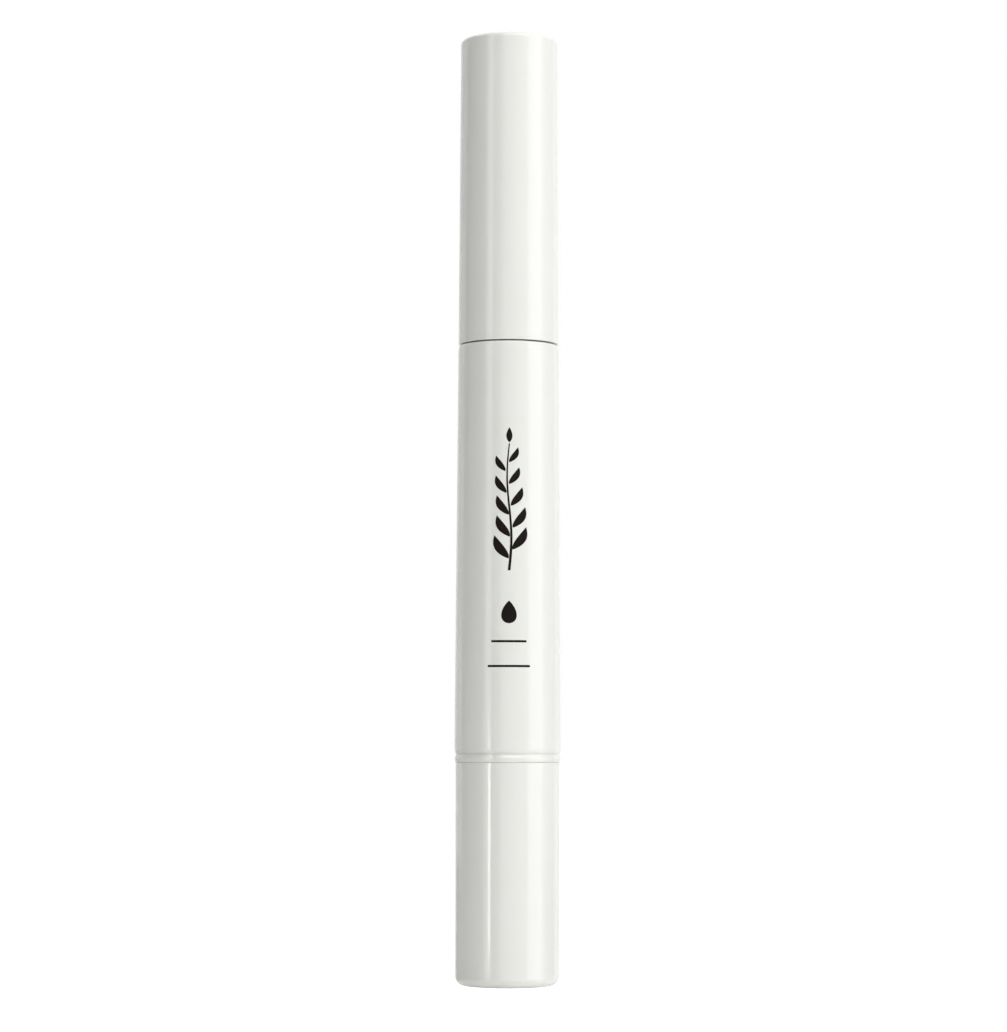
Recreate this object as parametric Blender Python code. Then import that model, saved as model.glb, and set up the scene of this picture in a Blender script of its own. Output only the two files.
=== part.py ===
"""Capped twist pen for nail oil, built as it comes apart on a bench.

The knob at the foot turns a keyed lead screw in a fixed nut. The screw climbs
and pushes a piston up the reservoir tube, which feeds oil through a fine tube
into a brush under the pull-off cap. A ratchet lets the knob turn one way.

Units are metres and +Z is up. The pen stands on its knob, its axis on Z.
"""

import math

import bmesh
import bpy

# Facets
SHELL_SEGMENTS = 48
INNER_SEGMENTS = 32
SMALL_SEGMENTS = 24
FILLET_STEPS = 3
RATCHET_TEETH = 12
PAWL_ARMS = 2
ARM_STEPS = 10
SHARP_EDGE_DEG = 35.0

# Fits and edges shared by the whole pen
SEAT_GAP = 0.0001
RUNNING_GAP = 0.00015
EDGE_BREAK = 0.0002
CUT_OVERRUN = 0.0005
WELD_DISTANCE = 0.000001

# Lead screw: a coarse right-hand thread with two flats
SCREW_RADIUS = 0.0026
THREAD_DEPTH = 0.0005
THREAD_PITCH = 0.003
THREAD_CREST = 0.001
THREAD_FLANK = 0.00035
THREAD_PLAY = 0.00012
FLAT_DEPTH = 0.0008
SCREW_FOOT_GAP = 0.0007
SCREW_SHOULDER_GAP = 0.0005
BUTTON_LEDGE = 0.0006
BUTTON_HEIGHT = 0.0016
BUTTON_CHAMFER = 0.0003

# Drive sleeve: carries the knob's turn to the screw's flats
KEY_RELIEF = 0.00005
SLEEVE_WALL = 0.0006
SLEEVE_FOOT_GAP = 0.0002
SLEEVE_TOP_GAP = 0.0004
KEY_LENGTH = 0.0055
DISC_HEIGHT = 0.001
DISC_GAP = 0.0003

# Ratchet: a toothed ring in the skirt, and a ring with two spring arms
PAWL_WALL = 0.00035
PAWL_HEIGHT = 0.0022
ARM_SLOT = 0.0002
ARM_WALL = 0.00035
ARM_CLEARANCE = 0.00015
ARM_SWEEP_DEG = 96.0
ARM_ROOT_DEG = 14.0
NOSE_DEG = 8.0
NOSE_GAP = 0.0001
NOSE_LEAD_DEG = 1.8
TOOTH_DEPTH = 0.00045
TOOTH_ROOT_SHARE = 0.4
TOOTH_TIP_SHARE = 0.9
TOOTH_FACE_SHARE = 0.98
RATCHET_WALL = 0.00045
RATCHET_HEIGHT = 0.003

# Rear bushing: visible collar, plug up into the barrel, skirt down into the knob
SKIRT_WALL = 0.00075
SKIRT_LENGTH = 0.00675
SNAP_HEIGHT = 0.00025
SNAP_WIDTH = 0.0008
SNAP_RISE = 0.0006
COLLAR_HEIGHT = 0.00108
COLLAR_PROUD = 0.00006
COLLAR_FILLET = 0.0003
PLUG_HEIGHT = 0.00365
PLUG_WALL = 0.0008

# Knob
KNOB_LENGTH = 0.03255
KNOB_WALL = 0.00105
KNOB_FLOOR = 0.0012
KNOB_TAPER = 0.00005
KNOB_FOOT_FILLET = 0.0013
KNOB_TOP_FILLET = 0.0002
KNOB_SEAM = 0.00012
LEDGE_WIDTH = 0.00035

# Barrel
BARREL_LENGTH = 0.06025
BARREL_PROUD = 0.00009
BARREL_TAPER = 0.00038
BARREL_WALL = 0.00082
BARREL_SEAM = 0.0001
BARREL_FILLET = 0.00015
LIP_HEIGHT = 0.001

# Thread nut and reservoir tube
NUT_HEIGHT = 0.005
TUBE_WALL = 0.00065
SHOULDER_STEP = 0.00095
SHOULDER_FLOOR = 0.0014
NECK_WALL = 0.0012
NECK_HEIGHT = 0.0074

# Piston with two lip rings
PISTON_PARK = 0.0014
PISTON_HEIGHT = 0.0065
PISTON_PLAY = 0.00035
SOCKET_LIP = 0.0009
PISTON_RING_DEPTH = 0.0007
PISTON_RING_HEIGHT = 0.0011
PISTON_RING_INSET = 0.0009

# Neck ring, the rubber ring that the cap grips
NECK_RING_RADIUS = 0.00032
NECK_RING_PROUD = 0.00012
NECK_RING_DROP = 0.0035

# Brush seat, its seal, the feed tube and the brush
SEAT_PLUG_LENGTH = 0.0095
SEAT_WALL = 0.0011
SEAL_HEIGHT = 0.0005
FLANGE_HEIGHT = 0.0008
NOSE_LENGTH = 0.015
NOSE_CONE_LENGTH = 0.009
NOSE_RADIUS = 0.0029
SOCKET_WALL = 0.0007
SOCKET_DEPTH = 0.0048
SEAT_HOLLOW_RISE = 0.001
FEED_RADIUS = 0.00075
FEED_WALL = 0.0003
FEED_DIP = 0.0022
FEED_RISE = 0.0015
BRUSH_RING_HEIGHT = 0.0028
BRUSH_RING_FLOOR = 0.0008
BRUSH_RING_WALL = 0.0003
TUFT_LENGTH = 0.01
TUFT_SWELL = 0.0004
TUFT_BELLY_SHARE = 0.3
TUFT_TIP_RADIUS = 0.0003

# Cap and its liner
TIP_HEADROOM = 0.0107
CAP_ROOF = 0.0013
CAP_WALL = 0.0009
CAP_INSET = 0.00002
CAP_TAPER = 0.00024
CAP_BORE_DRAFT = 0.00015
CAP_SEAM = 0.00025
CAP_MOUTH_FILLET = 0.00012
CAP_TOP_FILLET = 0.0006
LINER_INSET = 0.00025
LINER_GRIP_GAP = 0.0001
LINER_DRAFT_GAP = 0.00013
LINER_WEB = 0.0009
LINER_WEB_REACH = 0.0012
LINER_STOP_GAP = 0.0003

# Radii, worked outwards from the screw
SCREW_ROOT_RADIUS = SCREW_RADIUS - THREAD_DEPTH
NUT_THREAD_RADIUS = SCREW_RADIUS + RUNNING_GAP
NUT_THREAD_CREST = THREAD_CREST + 2 * THREAD_PLAY
SCREW_FLAT = SCREW_RADIUS - FLAT_DEPTH
BUTTON_RADIUS = SCREW_ROOT_RADIUS - SEAT_GAP
BUTTON_NECK_RADIUS = BUTTON_RADIUS - BUTTON_LEDGE
KEY_RADIUS = SCREW_RADIUS + RUNNING_GAP
KEY_FLAT = SCREW_FLAT + RUNNING_GAP
SLEEVE_BORE_RADIUS = KEY_RADIUS + KEY_RELIEF
JOURNAL_RADIUS = SLEEVE_BORE_RADIUS + SLEEVE_WALL
BUSHING_BORE_RADIUS = JOURNAL_RADIUS + RUNNING_GAP
PAWL_BORE_RADIUS = JOURNAL_RADIUS + SEAT_GAP
PAWL_HUB_RADIUS = PAWL_BORE_RADIUS + PAWL_WALL
ARM_INNER_RADIUS = PAWL_HUB_RADIUS + ARM_SLOT
ARM_OUTER_RADIUS = ARM_INNER_RADIUS + ARM_WALL
TOOTH_TIP_RADIUS = ARM_OUTER_RADIUS + ARM_CLEARANCE
TOOTH_ROOT_RADIUS = TOOTH_TIP_RADIUS + TOOTH_DEPTH
RATCHET_RADIUS = TOOTH_ROOT_RADIUS + RATCHET_WALL
SKIRT_BORE_RADIUS = RATCHET_RADIUS + SEAT_GAP
SKIRT_RADIUS = SKIRT_BORE_RADIUS + SKIRT_WALL
SNAP_RADIUS = SKIRT_RADIUS + SNAP_HEIGHT
KNOB_BORE_RADIUS = SNAP_RADIUS + SEAT_GAP
KNOB_SNAP_RADIUS = SKIRT_RADIUS + SEAT_GAP
LEDGE_RADIUS = KNOB_BORE_RADIUS - LEDGE_WIDTH
DISC_RADIUS = KNOB_BORE_RADIUS - SEAT_GAP
KNOB_TOP_RADIUS = KNOB_BORE_RADIUS + KNOB_WALL
KNOB_FOOT_RADIUS = KNOB_TOP_RADIUS - KNOB_TAPER
COLLAR_RADIUS = KNOB_TOP_RADIUS + COLLAR_PROUD
BARREL_FOOT_RADIUS = COLLAR_RADIUS + BARREL_PROUD
BARREL_TOP_RADIUS = BARREL_FOOT_RADIUS - BARREL_TAPER
BARREL_BORE_RADIUS = BARREL_TOP_RADIUS - BARREL_WALL
TUBE_RADIUS = BARREL_BORE_RADIUS - SEAT_GAP
TUBE_BORE_RADIUS = TUBE_RADIUS - TUBE_WALL
NECK_RADIUS = TUBE_RADIUS - SHOULDER_STEP
NECK_BORE_RADIUS = NECK_RADIUS - NECK_WALL
LIP_RADIUS = NECK_RADIUS + SEAT_GAP
SEAT_PLUG_RADIUS = NECK_BORE_RADIUS - SEAT_GAP
SEAT_HOLLOW_RADIUS = SEAT_PLUG_RADIUS - SEAT_WALL
CHANNEL_RADIUS = FEED_RADIUS + SEAT_GAP
SOCKET_RADIUS = NOSE_RADIUS - SOCKET_WALL
BRUSH_RING_RADIUS = SOCKET_RADIUS - SEAT_GAP
TUFT_ROOT_RADIUS = BRUSH_RING_RADIUS - BRUSH_RING_WALL - SEAT_GAP
NECK_RING_CENTRE = NECK_RADIUS + NECK_RING_PROUD - NECK_RING_RADIUS
GROOVE_RADIUS = NECK_RING_CENTRE - NECK_RING_RADIUS - SEAT_GAP
LINER_BORE_RADIUS = NECK_RADIUS + NECK_RING_PROUD + LINER_GRIP_GAP
CAP_MOUTH_RADIUS = BARREL_TOP_RADIUS - CAP_INSET
CAP_TOP_RADIUS = CAP_MOUTH_RADIUS - CAP_TAPER
CAP_BORE_RADIUS = CAP_MOUTH_RADIUS - CAP_WALL
LINER_RADIUS = CAP_BORE_RADIUS - LINER_DRAFT_GAP
LINER_WEB_RADIUS = LINER_BORE_RADIUS - LINER_WEB_REACH
PISTON_RADIUS = TUBE_BORE_RADIUS - PISTON_PLAY
PISTON_RING_OUTER = TUBE_BORE_RADIUS - SEAT_GAP
PISTON_GROOVE_RADIUS = PISTON_RADIUS - PISTON_RING_DEPTH
PISTON_SOCKET_RADIUS = BUTTON_RADIUS + RUNNING_GAP
PISTON_MOUTH_RADIUS = BUTTON_NECK_RADIUS + RUNNING_GAP

# Heights, worked upwards from the foot
COLLAR_Z = KNOB_LENGTH + KNOB_SEAM
COLLAR_TOP_Z = COLLAR_Z + COLLAR_HEIGHT
BARREL_Z = COLLAR_TOP_Z + BARREL_SEAM
BARREL_TOP_Z = BARREL_Z + BARREL_LENGTH
CAP_Z = BARREL_TOP_Z + CAP_SEAM
SKIRT_Z = COLLAR_Z - SKIRT_LENGTH
SNAP_Z = SKIRT_Z + SNAP_RISE
KNOB_SNAP_Z = SNAP_Z + SNAP_WIDTH + RUNNING_GAP
DISC_TOP_Z = SKIRT_Z - DISC_GAP
DISC_Z = DISC_TOP_Z - DISC_HEIGHT
LEDGE_Z = DISC_Z - SEAT_GAP
RATCHET_TOP_Z = COLLAR_Z - SEAT_GAP
RATCHET_Z = RATCHET_TOP_Z - RATCHET_HEIGHT
PAWL_Z = RATCHET_Z + (RATCHET_HEIGHT - PAWL_HEIGHT) / 2
PAWL_SEAT_Z = PAWL_Z - SEAT_GAP
PLUG_TOP_Z = COLLAR_TOP_Z + PLUG_HEIGHT
SLEEVE_Z = KNOB_FLOOR + SLEEVE_FOOT_GAP
SLEEVE_TOP_Z = PLUG_TOP_Z - SLEEVE_TOP_GAP
KEY_Z = SLEEVE_TOP_Z - KEY_LENGTH
NUT_Z = PLUG_TOP_Z + SEAT_GAP
NUT_TOP_Z = NUT_Z + NUT_HEIGHT
TUBE_Z = NUT_TOP_Z + SEAT_GAP
SHOULDER_Z = BARREL_TOP_Z - LIP_HEIGHT - SEAT_GAP
SHOULDER_FLOOR_Z = SHOULDER_Z - SHOULDER_FLOOR
NECK_TOP_Z = BARREL_TOP_Z + NECK_HEIGHT
NECK_RING_Z = NECK_TOP_Z - NECK_RING_DROP
SEAL_Z = NECK_TOP_Z + SEAT_GAP
FLANGE_Z = SEAL_Z + SEAL_HEIGHT + SEAT_GAP
FLANGE_TOP_Z = FLANGE_Z + FLANGE_HEIGHT
SEAT_Z = NECK_TOP_Z - SEAT_PLUG_LENGTH
SEAT_HOLLOW_Z = FLANGE_TOP_Z + SEAT_HOLLOW_RISE
CONE_TOP_Z = FLANGE_TOP_Z + NOSE_CONE_LENGTH
NOSE_Z = FLANGE_TOP_Z + NOSE_LENGTH
SOCKET_Z = NOSE_Z - SOCKET_DEPTH
BRUSH_RING_Z = SOCKET_Z + SEAT_GAP
TUFT_Z = BRUSH_RING_Z + BRUSH_RING_FLOOR + SEAT_GAP
TUFT_TIP_Z = NOSE_Z + TUFT_LENGTH
FEED_Z = SEAT_HOLLOW_Z - FEED_DIP
FEED_TOP_Z = NOSE_Z + FEED_RISE
CEILING_Z = TUFT_TIP_Z + TIP_HEADROOM
PEN_TOP_Z = CEILING_Z + CAP_ROOF
LINER_Z = CAP_Z + LINER_INSET
WEB_Z = FLANGE_TOP_Z + LINER_STOP_GAP
PISTON_Z = TUBE_Z + PISTON_PARK
PISTON_TOP_Z = PISTON_Z + PISTON_HEIGHT
PISTON_SOCKET_Z = PISTON_Z + SOCKET_LIP
BUTTON_Z = PISTON_SOCKET_Z + RUNNING_GAP
BUTTON_TOP_Z = BUTTON_Z + BUTTON_HEIGHT
PISTON_CEILING_Z = BUTTON_TOP_Z + RUNNING_GAP
SCREW_Z = KNOB_FLOOR + SCREW_FOOT_GAP
SCREW_SHOULDER_Z = PISTON_Z - SCREW_SHOULDER_GAP

# Finishes: linear colour, roughness, metallic value, opacity
GLOSS_WHITE = ((0.84, 0.85, 0.80), 0.12, 0.0, 1.0)
SATIN_WHITE = ((0.78, 0.78, 0.74), 0.40, 0.0, 1.0)
NATURAL_PLASTIC = ((0.80, 0.81, 0.78), 0.30, 0.0, 0.45)
GREY_PLASTIC = ((0.35, 0.36, 0.37), 0.40, 0.0, 1.0)
SOFT_RUBBER = ((0.72, 0.70, 0.64), 0.60, 0.0, 1.0)
WHITE_ACETAL = ((0.74, 0.74, 0.71), 0.28, 0.0, 1.0)
NYLON = ((0.62, 0.52, 0.38), 0.45, 0.0, 1.0)


def clear_scene():
    """Remove whatever the open file holds."""
    for found in list(bpy.data.objects):
        bpy.data.objects.remove(found, do_unlink=True)


def make_material(name, finish):
    """Give one piece its own plain plastic or rubber material."""
    colour, roughness, metallic, opacity = finish
    material = bpy.data.materials.new(name)
    material.use_nodes = True
    shader = material.node_tree.nodes["Principled BSDF"]
    shader.inputs["Base Color"].default_value = (*colour, 1.0)
    shader.inputs["Roughness"].default_value = roughness
    shader.inputs["Metallic"].default_value = metallic
    shader.inputs["Alpha"].default_value = opacity
    material.diffuse_color = (*colour, opacity)
    return material


def make_body(name, height):
    """Add the empty that carries a body's pieces, on the pen's axis."""
    body = bpy.data.objects.new(name, None)
    body.location = (0.0, 0.0, height)
    bpy.context.collection.objects.link(body)
    return body


def make_piece(name, mesh_builder, finish, body):
    """Weld the built faces into one outward-facing solid and hang it on its body."""
    bmesh.ops.remove_doubles(mesh_builder, verts=mesh_builder.verts, dist=WELD_DISTANCE)
    bmesh.ops.recalc_face_normals(mesh_builder, faces=mesh_builder.faces)
    if mesh_builder.calc_volume(signed=True) < 0:
        bmesh.ops.reverse_faces(mesh_builder, faces=mesh_builder.faces)
    bmesh.ops.translate(mesh_builder, verts=mesh_builder.verts, vec=-body.location)
    mesh = bpy.data.meshes.new(name)
    mesh_builder.to_mesh(mesh)
    mesh_builder.free()
    mesh.shade_smooth()
    mesh.set_sharp_from_angle(angle=math.radians(SHARP_EDGE_DEG))
    piece = bpy.data.objects.new(name, mesh)
    piece.data.materials.append(make_material(name, finish))
    piece.parent = body
    bpy.context.collection.objects.link(piece)
    return piece


def arc(centre_radius, centre_z, radius, start_deg, end_deg):
    """Points of an arc in the radius-height plane, between two angles from +radius."""
    points = []
    for step in range(FILLET_STEPS + 1):
        angle = math.radians(start_deg + (end_deg - start_deg) * step / FILLET_STEPS)
        points.append((centre_radius + radius * math.cos(angle), centre_z + radius * math.sin(angle)))
    return points


def turned(name, outline, segments, finish, body):
    """Spin an outline of (radius, height) points into a solid.

    An outline off the axis is closed into a ring. One that starts and ends on
    the axis is left as a chain, and its ends weld into poles.
    """
    builder = bmesh.new()
    points = [builder.verts.new((radius, 0.0, height)) for radius, height in outline]
    edges = [builder.edges.new(pair) for pair in zip(points, points[1:])]
    if outline[0][0] > 0:
        edges.append(builder.edges.new((points[-1], points[0])))
    bmesh.ops.spin(
        builder,
        geom=points + edges,
        axis=(0.0, 0.0, 1.0),
        cent=(0.0, 0.0, 0.0),
        angle=math.tau,
        steps=segments,
        use_merge=True,
    )
    return make_piece(name, builder, finish, body)


def ring_outline(inner, outer, bottom, top, edge=0):
    """Outline of a plain ring, its outer edges broken by a small chamfer."""
    return [
        (inner, bottom),
        (outer - edge, bottom),
        (outer, bottom + edge),
        (outer, top - edge),
        (outer - edge, top),
        (inner, top),
    ]


def polar(radius, angle, height):
    """Point at a radius, an angle about the axis and a height."""
    return (radius * math.cos(angle), radius * math.sin(angle), height)


def add_quads(builder, rows, wrap):
    """Join rows of points with quads, and their ends to the rows that wrap names."""
    columns = len(rows[0])
    for index in range(len(rows) - 1 - wrap):
        for column in range(columns):
            low, high = rows[index], rows[index + 1]
            if column + 1 < columns:
                low_next, high_next = low[column + 1], high[column + 1]
            else:
                low_next, high_next = rows[index + wrap][0], rows[index + 1 + wrap][0]
            corners = (low[column], low_next, high_next, high[column])
            builder.faces.new([builder.verts.new(corner) for corner in corners])


def add_cap(builder, ring, height):
    """Close a ring of points with triangles to the axis."""
    for point, following in zip(ring, ring[1:] + ring[:1]):
        corners = (point, following, (0.0, 0.0, height))
        builder.faces.new([builder.verts.new(corner) for corner in corners])


def flattened(radius, angle, half_width):
    """Radius of a round bar where a pair of flats, facing -X and +X, cuts it."""
    across = abs(radius * math.cos(angle))
    return radius * half_width / across if across > half_width else radius


def thread_radius(height, angle, crest_radius, crest_width):
    """Radius of the right-hand thread's surface at a height and an angle."""
    turn = height / THREAD_PITCH - angle / math.tau
    offset = abs(turn - round(turn)) * THREAD_PITCH
    fall = min(max((offset - crest_width / 2) / THREAD_FLANK, 0.0), 1.0)
    return crest_radius - THREAD_DEPTH * fall


def thread_rows(bottom, top, crest_radius, crest_width):
    """Rows of (radius, angle, height) along the thread's edges, pressed flat at both ends."""
    crest_half = crest_width / 2
    edges = (-crest_half - THREAD_FLANK, -crest_half, crest_half, crest_half + THREAD_FLANK)
    first = math.floor(bottom / THREAD_PITCH) - 2
    last = math.ceil(top / THREAD_PITCH) + 2
    rows = []
    for turn in range(first, last + 1):
        for edge in edges:
            row = []
            for column in range(SMALL_SEGMENTS):
                share = column / SMALL_SEGMENTS
                angle = math.tau * share
                height = min(max(THREAD_PITCH * (turn + share) + edge, bottom), top)
                radius = thread_radius(height, angle, crest_radius, crest_width)
                row.append((radius, angle, height))
            rows.append(row)
    return rows, len(edges)


def plain_row(radius, height):
    """One round row of points to continue a thread's rows."""
    return [polar(radius, math.tau * column / SMALL_SEGMENTS, height) for column in range(SMALL_SEGMENTS)]


def make_lead_screw(body):
    """Thread with two flats, and a button on top that turns in the piston."""
    builder = bmesh.new()
    thread, turn_rows = thread_rows(SCREW_Z, SCREW_SHOULDER_Z, SCREW_RADIUS, THREAD_CREST)
    rows = [[polar(flattened(r, angle, SCREW_FLAT), angle, z) for r, angle, z in row] for row in thread]
    add_quads(builder, rows, turn_rows)
    add_cap(builder, rows[0], SCREW_Z)
    tip = [
        rows[-1],
        plain_row(BUTTON_NECK_RADIUS, SCREW_SHOULDER_Z),
        plain_row(BUTTON_NECK_RADIUS, BUTTON_Z),
        plain_row(BUTTON_RADIUS, BUTTON_Z),
        plain_row(BUTTON_RADIUS, BUTTON_TOP_Z - BUTTON_CHAMFER),
        plain_row(BUTTON_RADIUS - BUTTON_CHAMFER, BUTTON_TOP_Z),
    ]
    add_quads(builder, tip, 0)
    add_cap(builder, tip[-1], BUTTON_TOP_Z)
    return make_piece("lead_screw", builder, WHITE_ACETAL, body)


def make_thread_nut(body):
    """Fixed nut between the bushing's plug and the reservoir tube."""
    builder = bmesh.new()
    thread, turn_rows = thread_rows(NUT_Z, NUT_TOP_Z, NUT_THREAD_RADIUS, NUT_THREAD_CREST)
    rows = [[polar(*point) for point in row] for row in thread]
    add_quads(builder, rows, turn_rows)
    outside = [
        rows[0],
        plain_row(TUBE_RADIUS - EDGE_BREAK, NUT_Z),
        plain_row(TUBE_RADIUS, NUT_Z + EDGE_BREAK),
        plain_row(TUBE_RADIUS, NUT_TOP_Z - EDGE_BREAK),
        plain_row(TUBE_RADIUS - EDGE_BREAK, NUT_TOP_Z),
        rows[-1],
    ]
    add_quads(builder, outside, 0)
    return make_piece("thread_nut", builder, GREY_PLASTIC, body)


def prism(name, points, bottom, top, finish, body):
    """Extrude an outline of (x, y) points between two heights."""
    builder = bmesh.new()
    base = builder.faces.new([builder.verts.new((x, y, bottom)) for x, y in points])
    raised = bmesh.ops.extrude_face_region(builder, geom=[base])
    lifted = [item for item in raised["geom"] if isinstance(item, bmesh.types.BMVert)]
    bmesh.ops.translate(builder, verts=lifted, vec=(0.0, 0.0, top - bottom))
    return make_piece(name, builder, finish, body)


def combine(piece, tool, operation):
    """Cut a hidden tool from a piece, or join it on."""
    tool.hide_render = True
    tool.display_type = "WIRE"
    modifier = piece.modifiers.new(tool.name, "BOOLEAN")
    modifier.operation = operation
    modifier.solver = "EXACT"
    modifier.object = tool


def make_drive_sleeve(body):
    """Tube round the screw, a disc held in the knob, and a keyed top."""
    sleeve = turned(
        "drive_sleeve",
        [
            (0, KEY_Z),
            (SLEEVE_BORE_RADIUS, KEY_Z),
            (SLEEVE_BORE_RADIUS, SLEEVE_Z),
            (JOURNAL_RADIUS, SLEEVE_Z),
            (JOURNAL_RADIUS, DISC_Z),
            (DISC_RADIUS - EDGE_BREAK, DISC_Z),
            (DISC_RADIUS, DISC_Z + EDGE_BREAK),
            (DISC_RADIUS, DISC_TOP_Z - EDGE_BREAK),
            (DISC_RADIUS - EDGE_BREAK, DISC_TOP_Z),
            (PAWL_HUB_RADIUS, DISC_TOP_Z),
            (PAWL_HUB_RADIUS, PAWL_SEAT_Z),
            (JOURNAL_RADIUS, PAWL_SEAT_Z),
            (JOURNAL_RADIUS, SLEEVE_TOP_Z - EDGE_BREAK),
            (JOURNAL_RADIUS - EDGE_BREAK, SLEEVE_TOP_Z),
            (0, SLEEVE_TOP_Z),
        ],
        SMALL_SEGMENTS,
        GREY_PLASTIC,
        body,
    )
    keyway = []
    for column in range(SMALL_SEGMENTS):
        angle = math.tau * column / SMALL_SEGMENTS
        keyway.append(polar(flattened(KEY_RADIUS, angle, KEY_FLAT), angle, 0)[:2])
    cutter = prism(
        "keyway_cutter", keyway, KEY_Z - CUT_OVERRUN, SLEEVE_TOP_Z + CUT_OVERRUN, GREY_PLASTIC, body
    )
    combine(sleeve, cutter, "DIFFERENCE")
    return sleeve


def make_ratchet_ring(body):
    """Ring of inward saw teeth, pressed into the bushing's skirt."""
    inner = []
    tooth_shape = (
        (0.0, TOOTH_ROOT_RADIUS),
        (TOOTH_ROOT_SHARE, TOOTH_ROOT_RADIUS),
        (TOOTH_TIP_SHARE, TOOTH_TIP_RADIUS),
        (TOOTH_FACE_SHARE, TOOTH_TIP_RADIUS),
    )
    for tooth in range(RATCHET_TEETH):
        for share, radius in tooth_shape:
            inner.append((radius, math.tau * (tooth + share) / RATCHET_TEETH))
    top = RATCHET_Z + RATCHET_HEIGHT
    rows = [
        [polar(radius, angle, RATCHET_Z) for radius, angle in inner],
        [polar(RATCHET_RADIUS, angle, RATCHET_Z) for radius, angle in inner],
        [polar(RATCHET_RADIUS, angle, top) for radius, angle in inner],
        [polar(radius, angle, top) for radius, angle in inner],
        [polar(radius, angle, RATCHET_Z) for radius, angle in inner],
    ]
    builder = bmesh.new()
    add_quads(builder, rows, 0)
    return make_piece("ratchet_ring", builder, GREY_PLASTIC, body)


def make_pawl_ring(body):
    """Hub ring on the sleeve, with spring arms that trail behind the turn."""
    top = PAWL_Z + PAWL_HEIGHT
    ring = turned(
        "pawl_ring",
        ring_outline(PAWL_BORE_RADIUS, PAWL_HUB_RADIUS, PAWL_Z, top),
        INNER_SEGMENTS,
        SATIN_WHITE,
        body,
    )
    buried = (PAWL_BORE_RADIUS + PAWL_HUB_RADIUS) / 2
    nose_radius = TOOTH_ROOT_RADIUS - NOSE_GAP
    for arm in range(PAWL_ARMS):
        tip = math.tau * arm / PAWL_ARMS + math.radians(NOSE_LEAD_DEG)
        heel = tip + math.radians(NOSE_DEG)
        root = tip + math.radians(ARM_SWEEP_DEG)
        root_end = root + math.radians(ARM_ROOT_DEG)
        sweep = [heel + (root - heel) * step / ARM_STEPS for step in range(ARM_STEPS + 1)]
        outline = [(ARM_INNER_RADIUS, tip), (nose_radius, tip), (nose_radius, (tip + heel) / 2)]
        outline += [(ARM_OUTER_RADIUS, angle) for angle in sweep]
        outline += [(ARM_OUTER_RADIUS, (root + root_end) / 2), (buried, root_end), (buried, root)]
        outline += [(ARM_INNER_RADIUS, angle) for angle in reversed(sweep)]
        points = [polar(radius, angle, 0)[:2] for radius, angle in outline]
        name = f"pawl_arm_{arm + 1}"
        combine(ring, prism(name, points, PAWL_Z, top, SATIN_WHITE, body), "UNION")
    return ring


def make_knob_shell(body):
    """Closed knob with a rounded foot, a ledge for the disc and a snap bead."""
    bead_top = KNOB_SNAP_Z + SNAP_WIDTH
    outline = [
        (0, KNOB_FLOOR),
        (LEDGE_RADIUS - KNOB_FOOT_FILLET / 2, KNOB_FLOOR),
        (LEDGE_RADIUS, KNOB_FLOOR + KNOB_FOOT_FILLET / 2),
        (LEDGE_RADIUS, LEDGE_Z),
        (KNOB_BORE_RADIUS, LEDGE_Z),
        (KNOB_BORE_RADIUS, KNOB_SNAP_Z),
        (KNOB_SNAP_RADIUS, KNOB_SNAP_Z),
        (KNOB_SNAP_RADIUS, bead_top - EDGE_BREAK),
        (KNOB_BORE_RADIUS, bead_top),
        (KNOB_BORE_RADIUS, KNOB_LENGTH),
    ]
    outline += arc(
        KNOB_TOP_RADIUS - KNOB_TOP_FILLET, KNOB_LENGTH - KNOB_TOP_FILLET, KNOB_TOP_FILLET, 90, 0
    )
    outline += arc(KNOB_FOOT_RADIUS - KNOB_FOOT_FILLET, KNOB_FOOT_FILLET, KNOB_FOOT_FILLET, 0, -90)
    outline += [(0, 0)]
    return turned("knob_shell", outline, SHELL_SEGMENTS, GLOSS_WHITE, body)


def make_rear_bushing(body):
    """Collar ring that shows, with a hollow plug above and a snap skirt below."""
    pocket_inner = BUSHING_BORE_RADIUS + PLUG_WALL
    pocket_outer = TUBE_RADIUS - PLUG_WALL
    outline = [
        (BUSHING_BORE_RADIUS, PLUG_TOP_Z),
        (BUSHING_BORE_RADIUS, COLLAR_Z),
        (SKIRT_BORE_RADIUS, COLLAR_Z),
        (SKIRT_BORE_RADIUS, SKIRT_Z),
        (SKIRT_RADIUS - EDGE_BREAK, SKIRT_Z),
        (SKIRT_RADIUS, SKIRT_Z + EDGE_BREAK),
        (SKIRT_RADIUS, SNAP_Z),
        (SNAP_RADIUS, SNAP_Z + SNAP_HEIGHT),
        (SNAP_RADIUS, SNAP_Z + SNAP_WIDTH),
        (SKIRT_RADIUS, SNAP_Z + SNAP_WIDTH),
        (SKIRT_RADIUS, COLLAR_Z),
    ]
    outline += arc(COLLAR_RADIUS - COLLAR_FILLET, COLLAR_Z + COLLAR_FILLET, COLLAR_FILLET, -90, 0)
    outline += arc(COLLAR_RADIUS - COLLAR_FILLET, COLLAR_TOP_Z - COLLAR_FILLET, COLLAR_FILLET, 0, 90)
    outline += [
        (TUBE_RADIUS, COLLAR_TOP_Z),
        (TUBE_RADIUS, PLUG_TOP_Z - EDGE_BREAK),
        (TUBE_RADIUS - EDGE_BREAK, PLUG_TOP_Z),
        (pocket_outer, PLUG_TOP_Z),
        (pocket_outer, COLLAR_TOP_Z),
        (pocket_inner, COLLAR_TOP_Z),
        (pocket_inner, PLUG_TOP_Z),
    ]
    return turned("rear_bushing", outline, INNER_SEGMENTS, GLOSS_WHITE, body)


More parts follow.
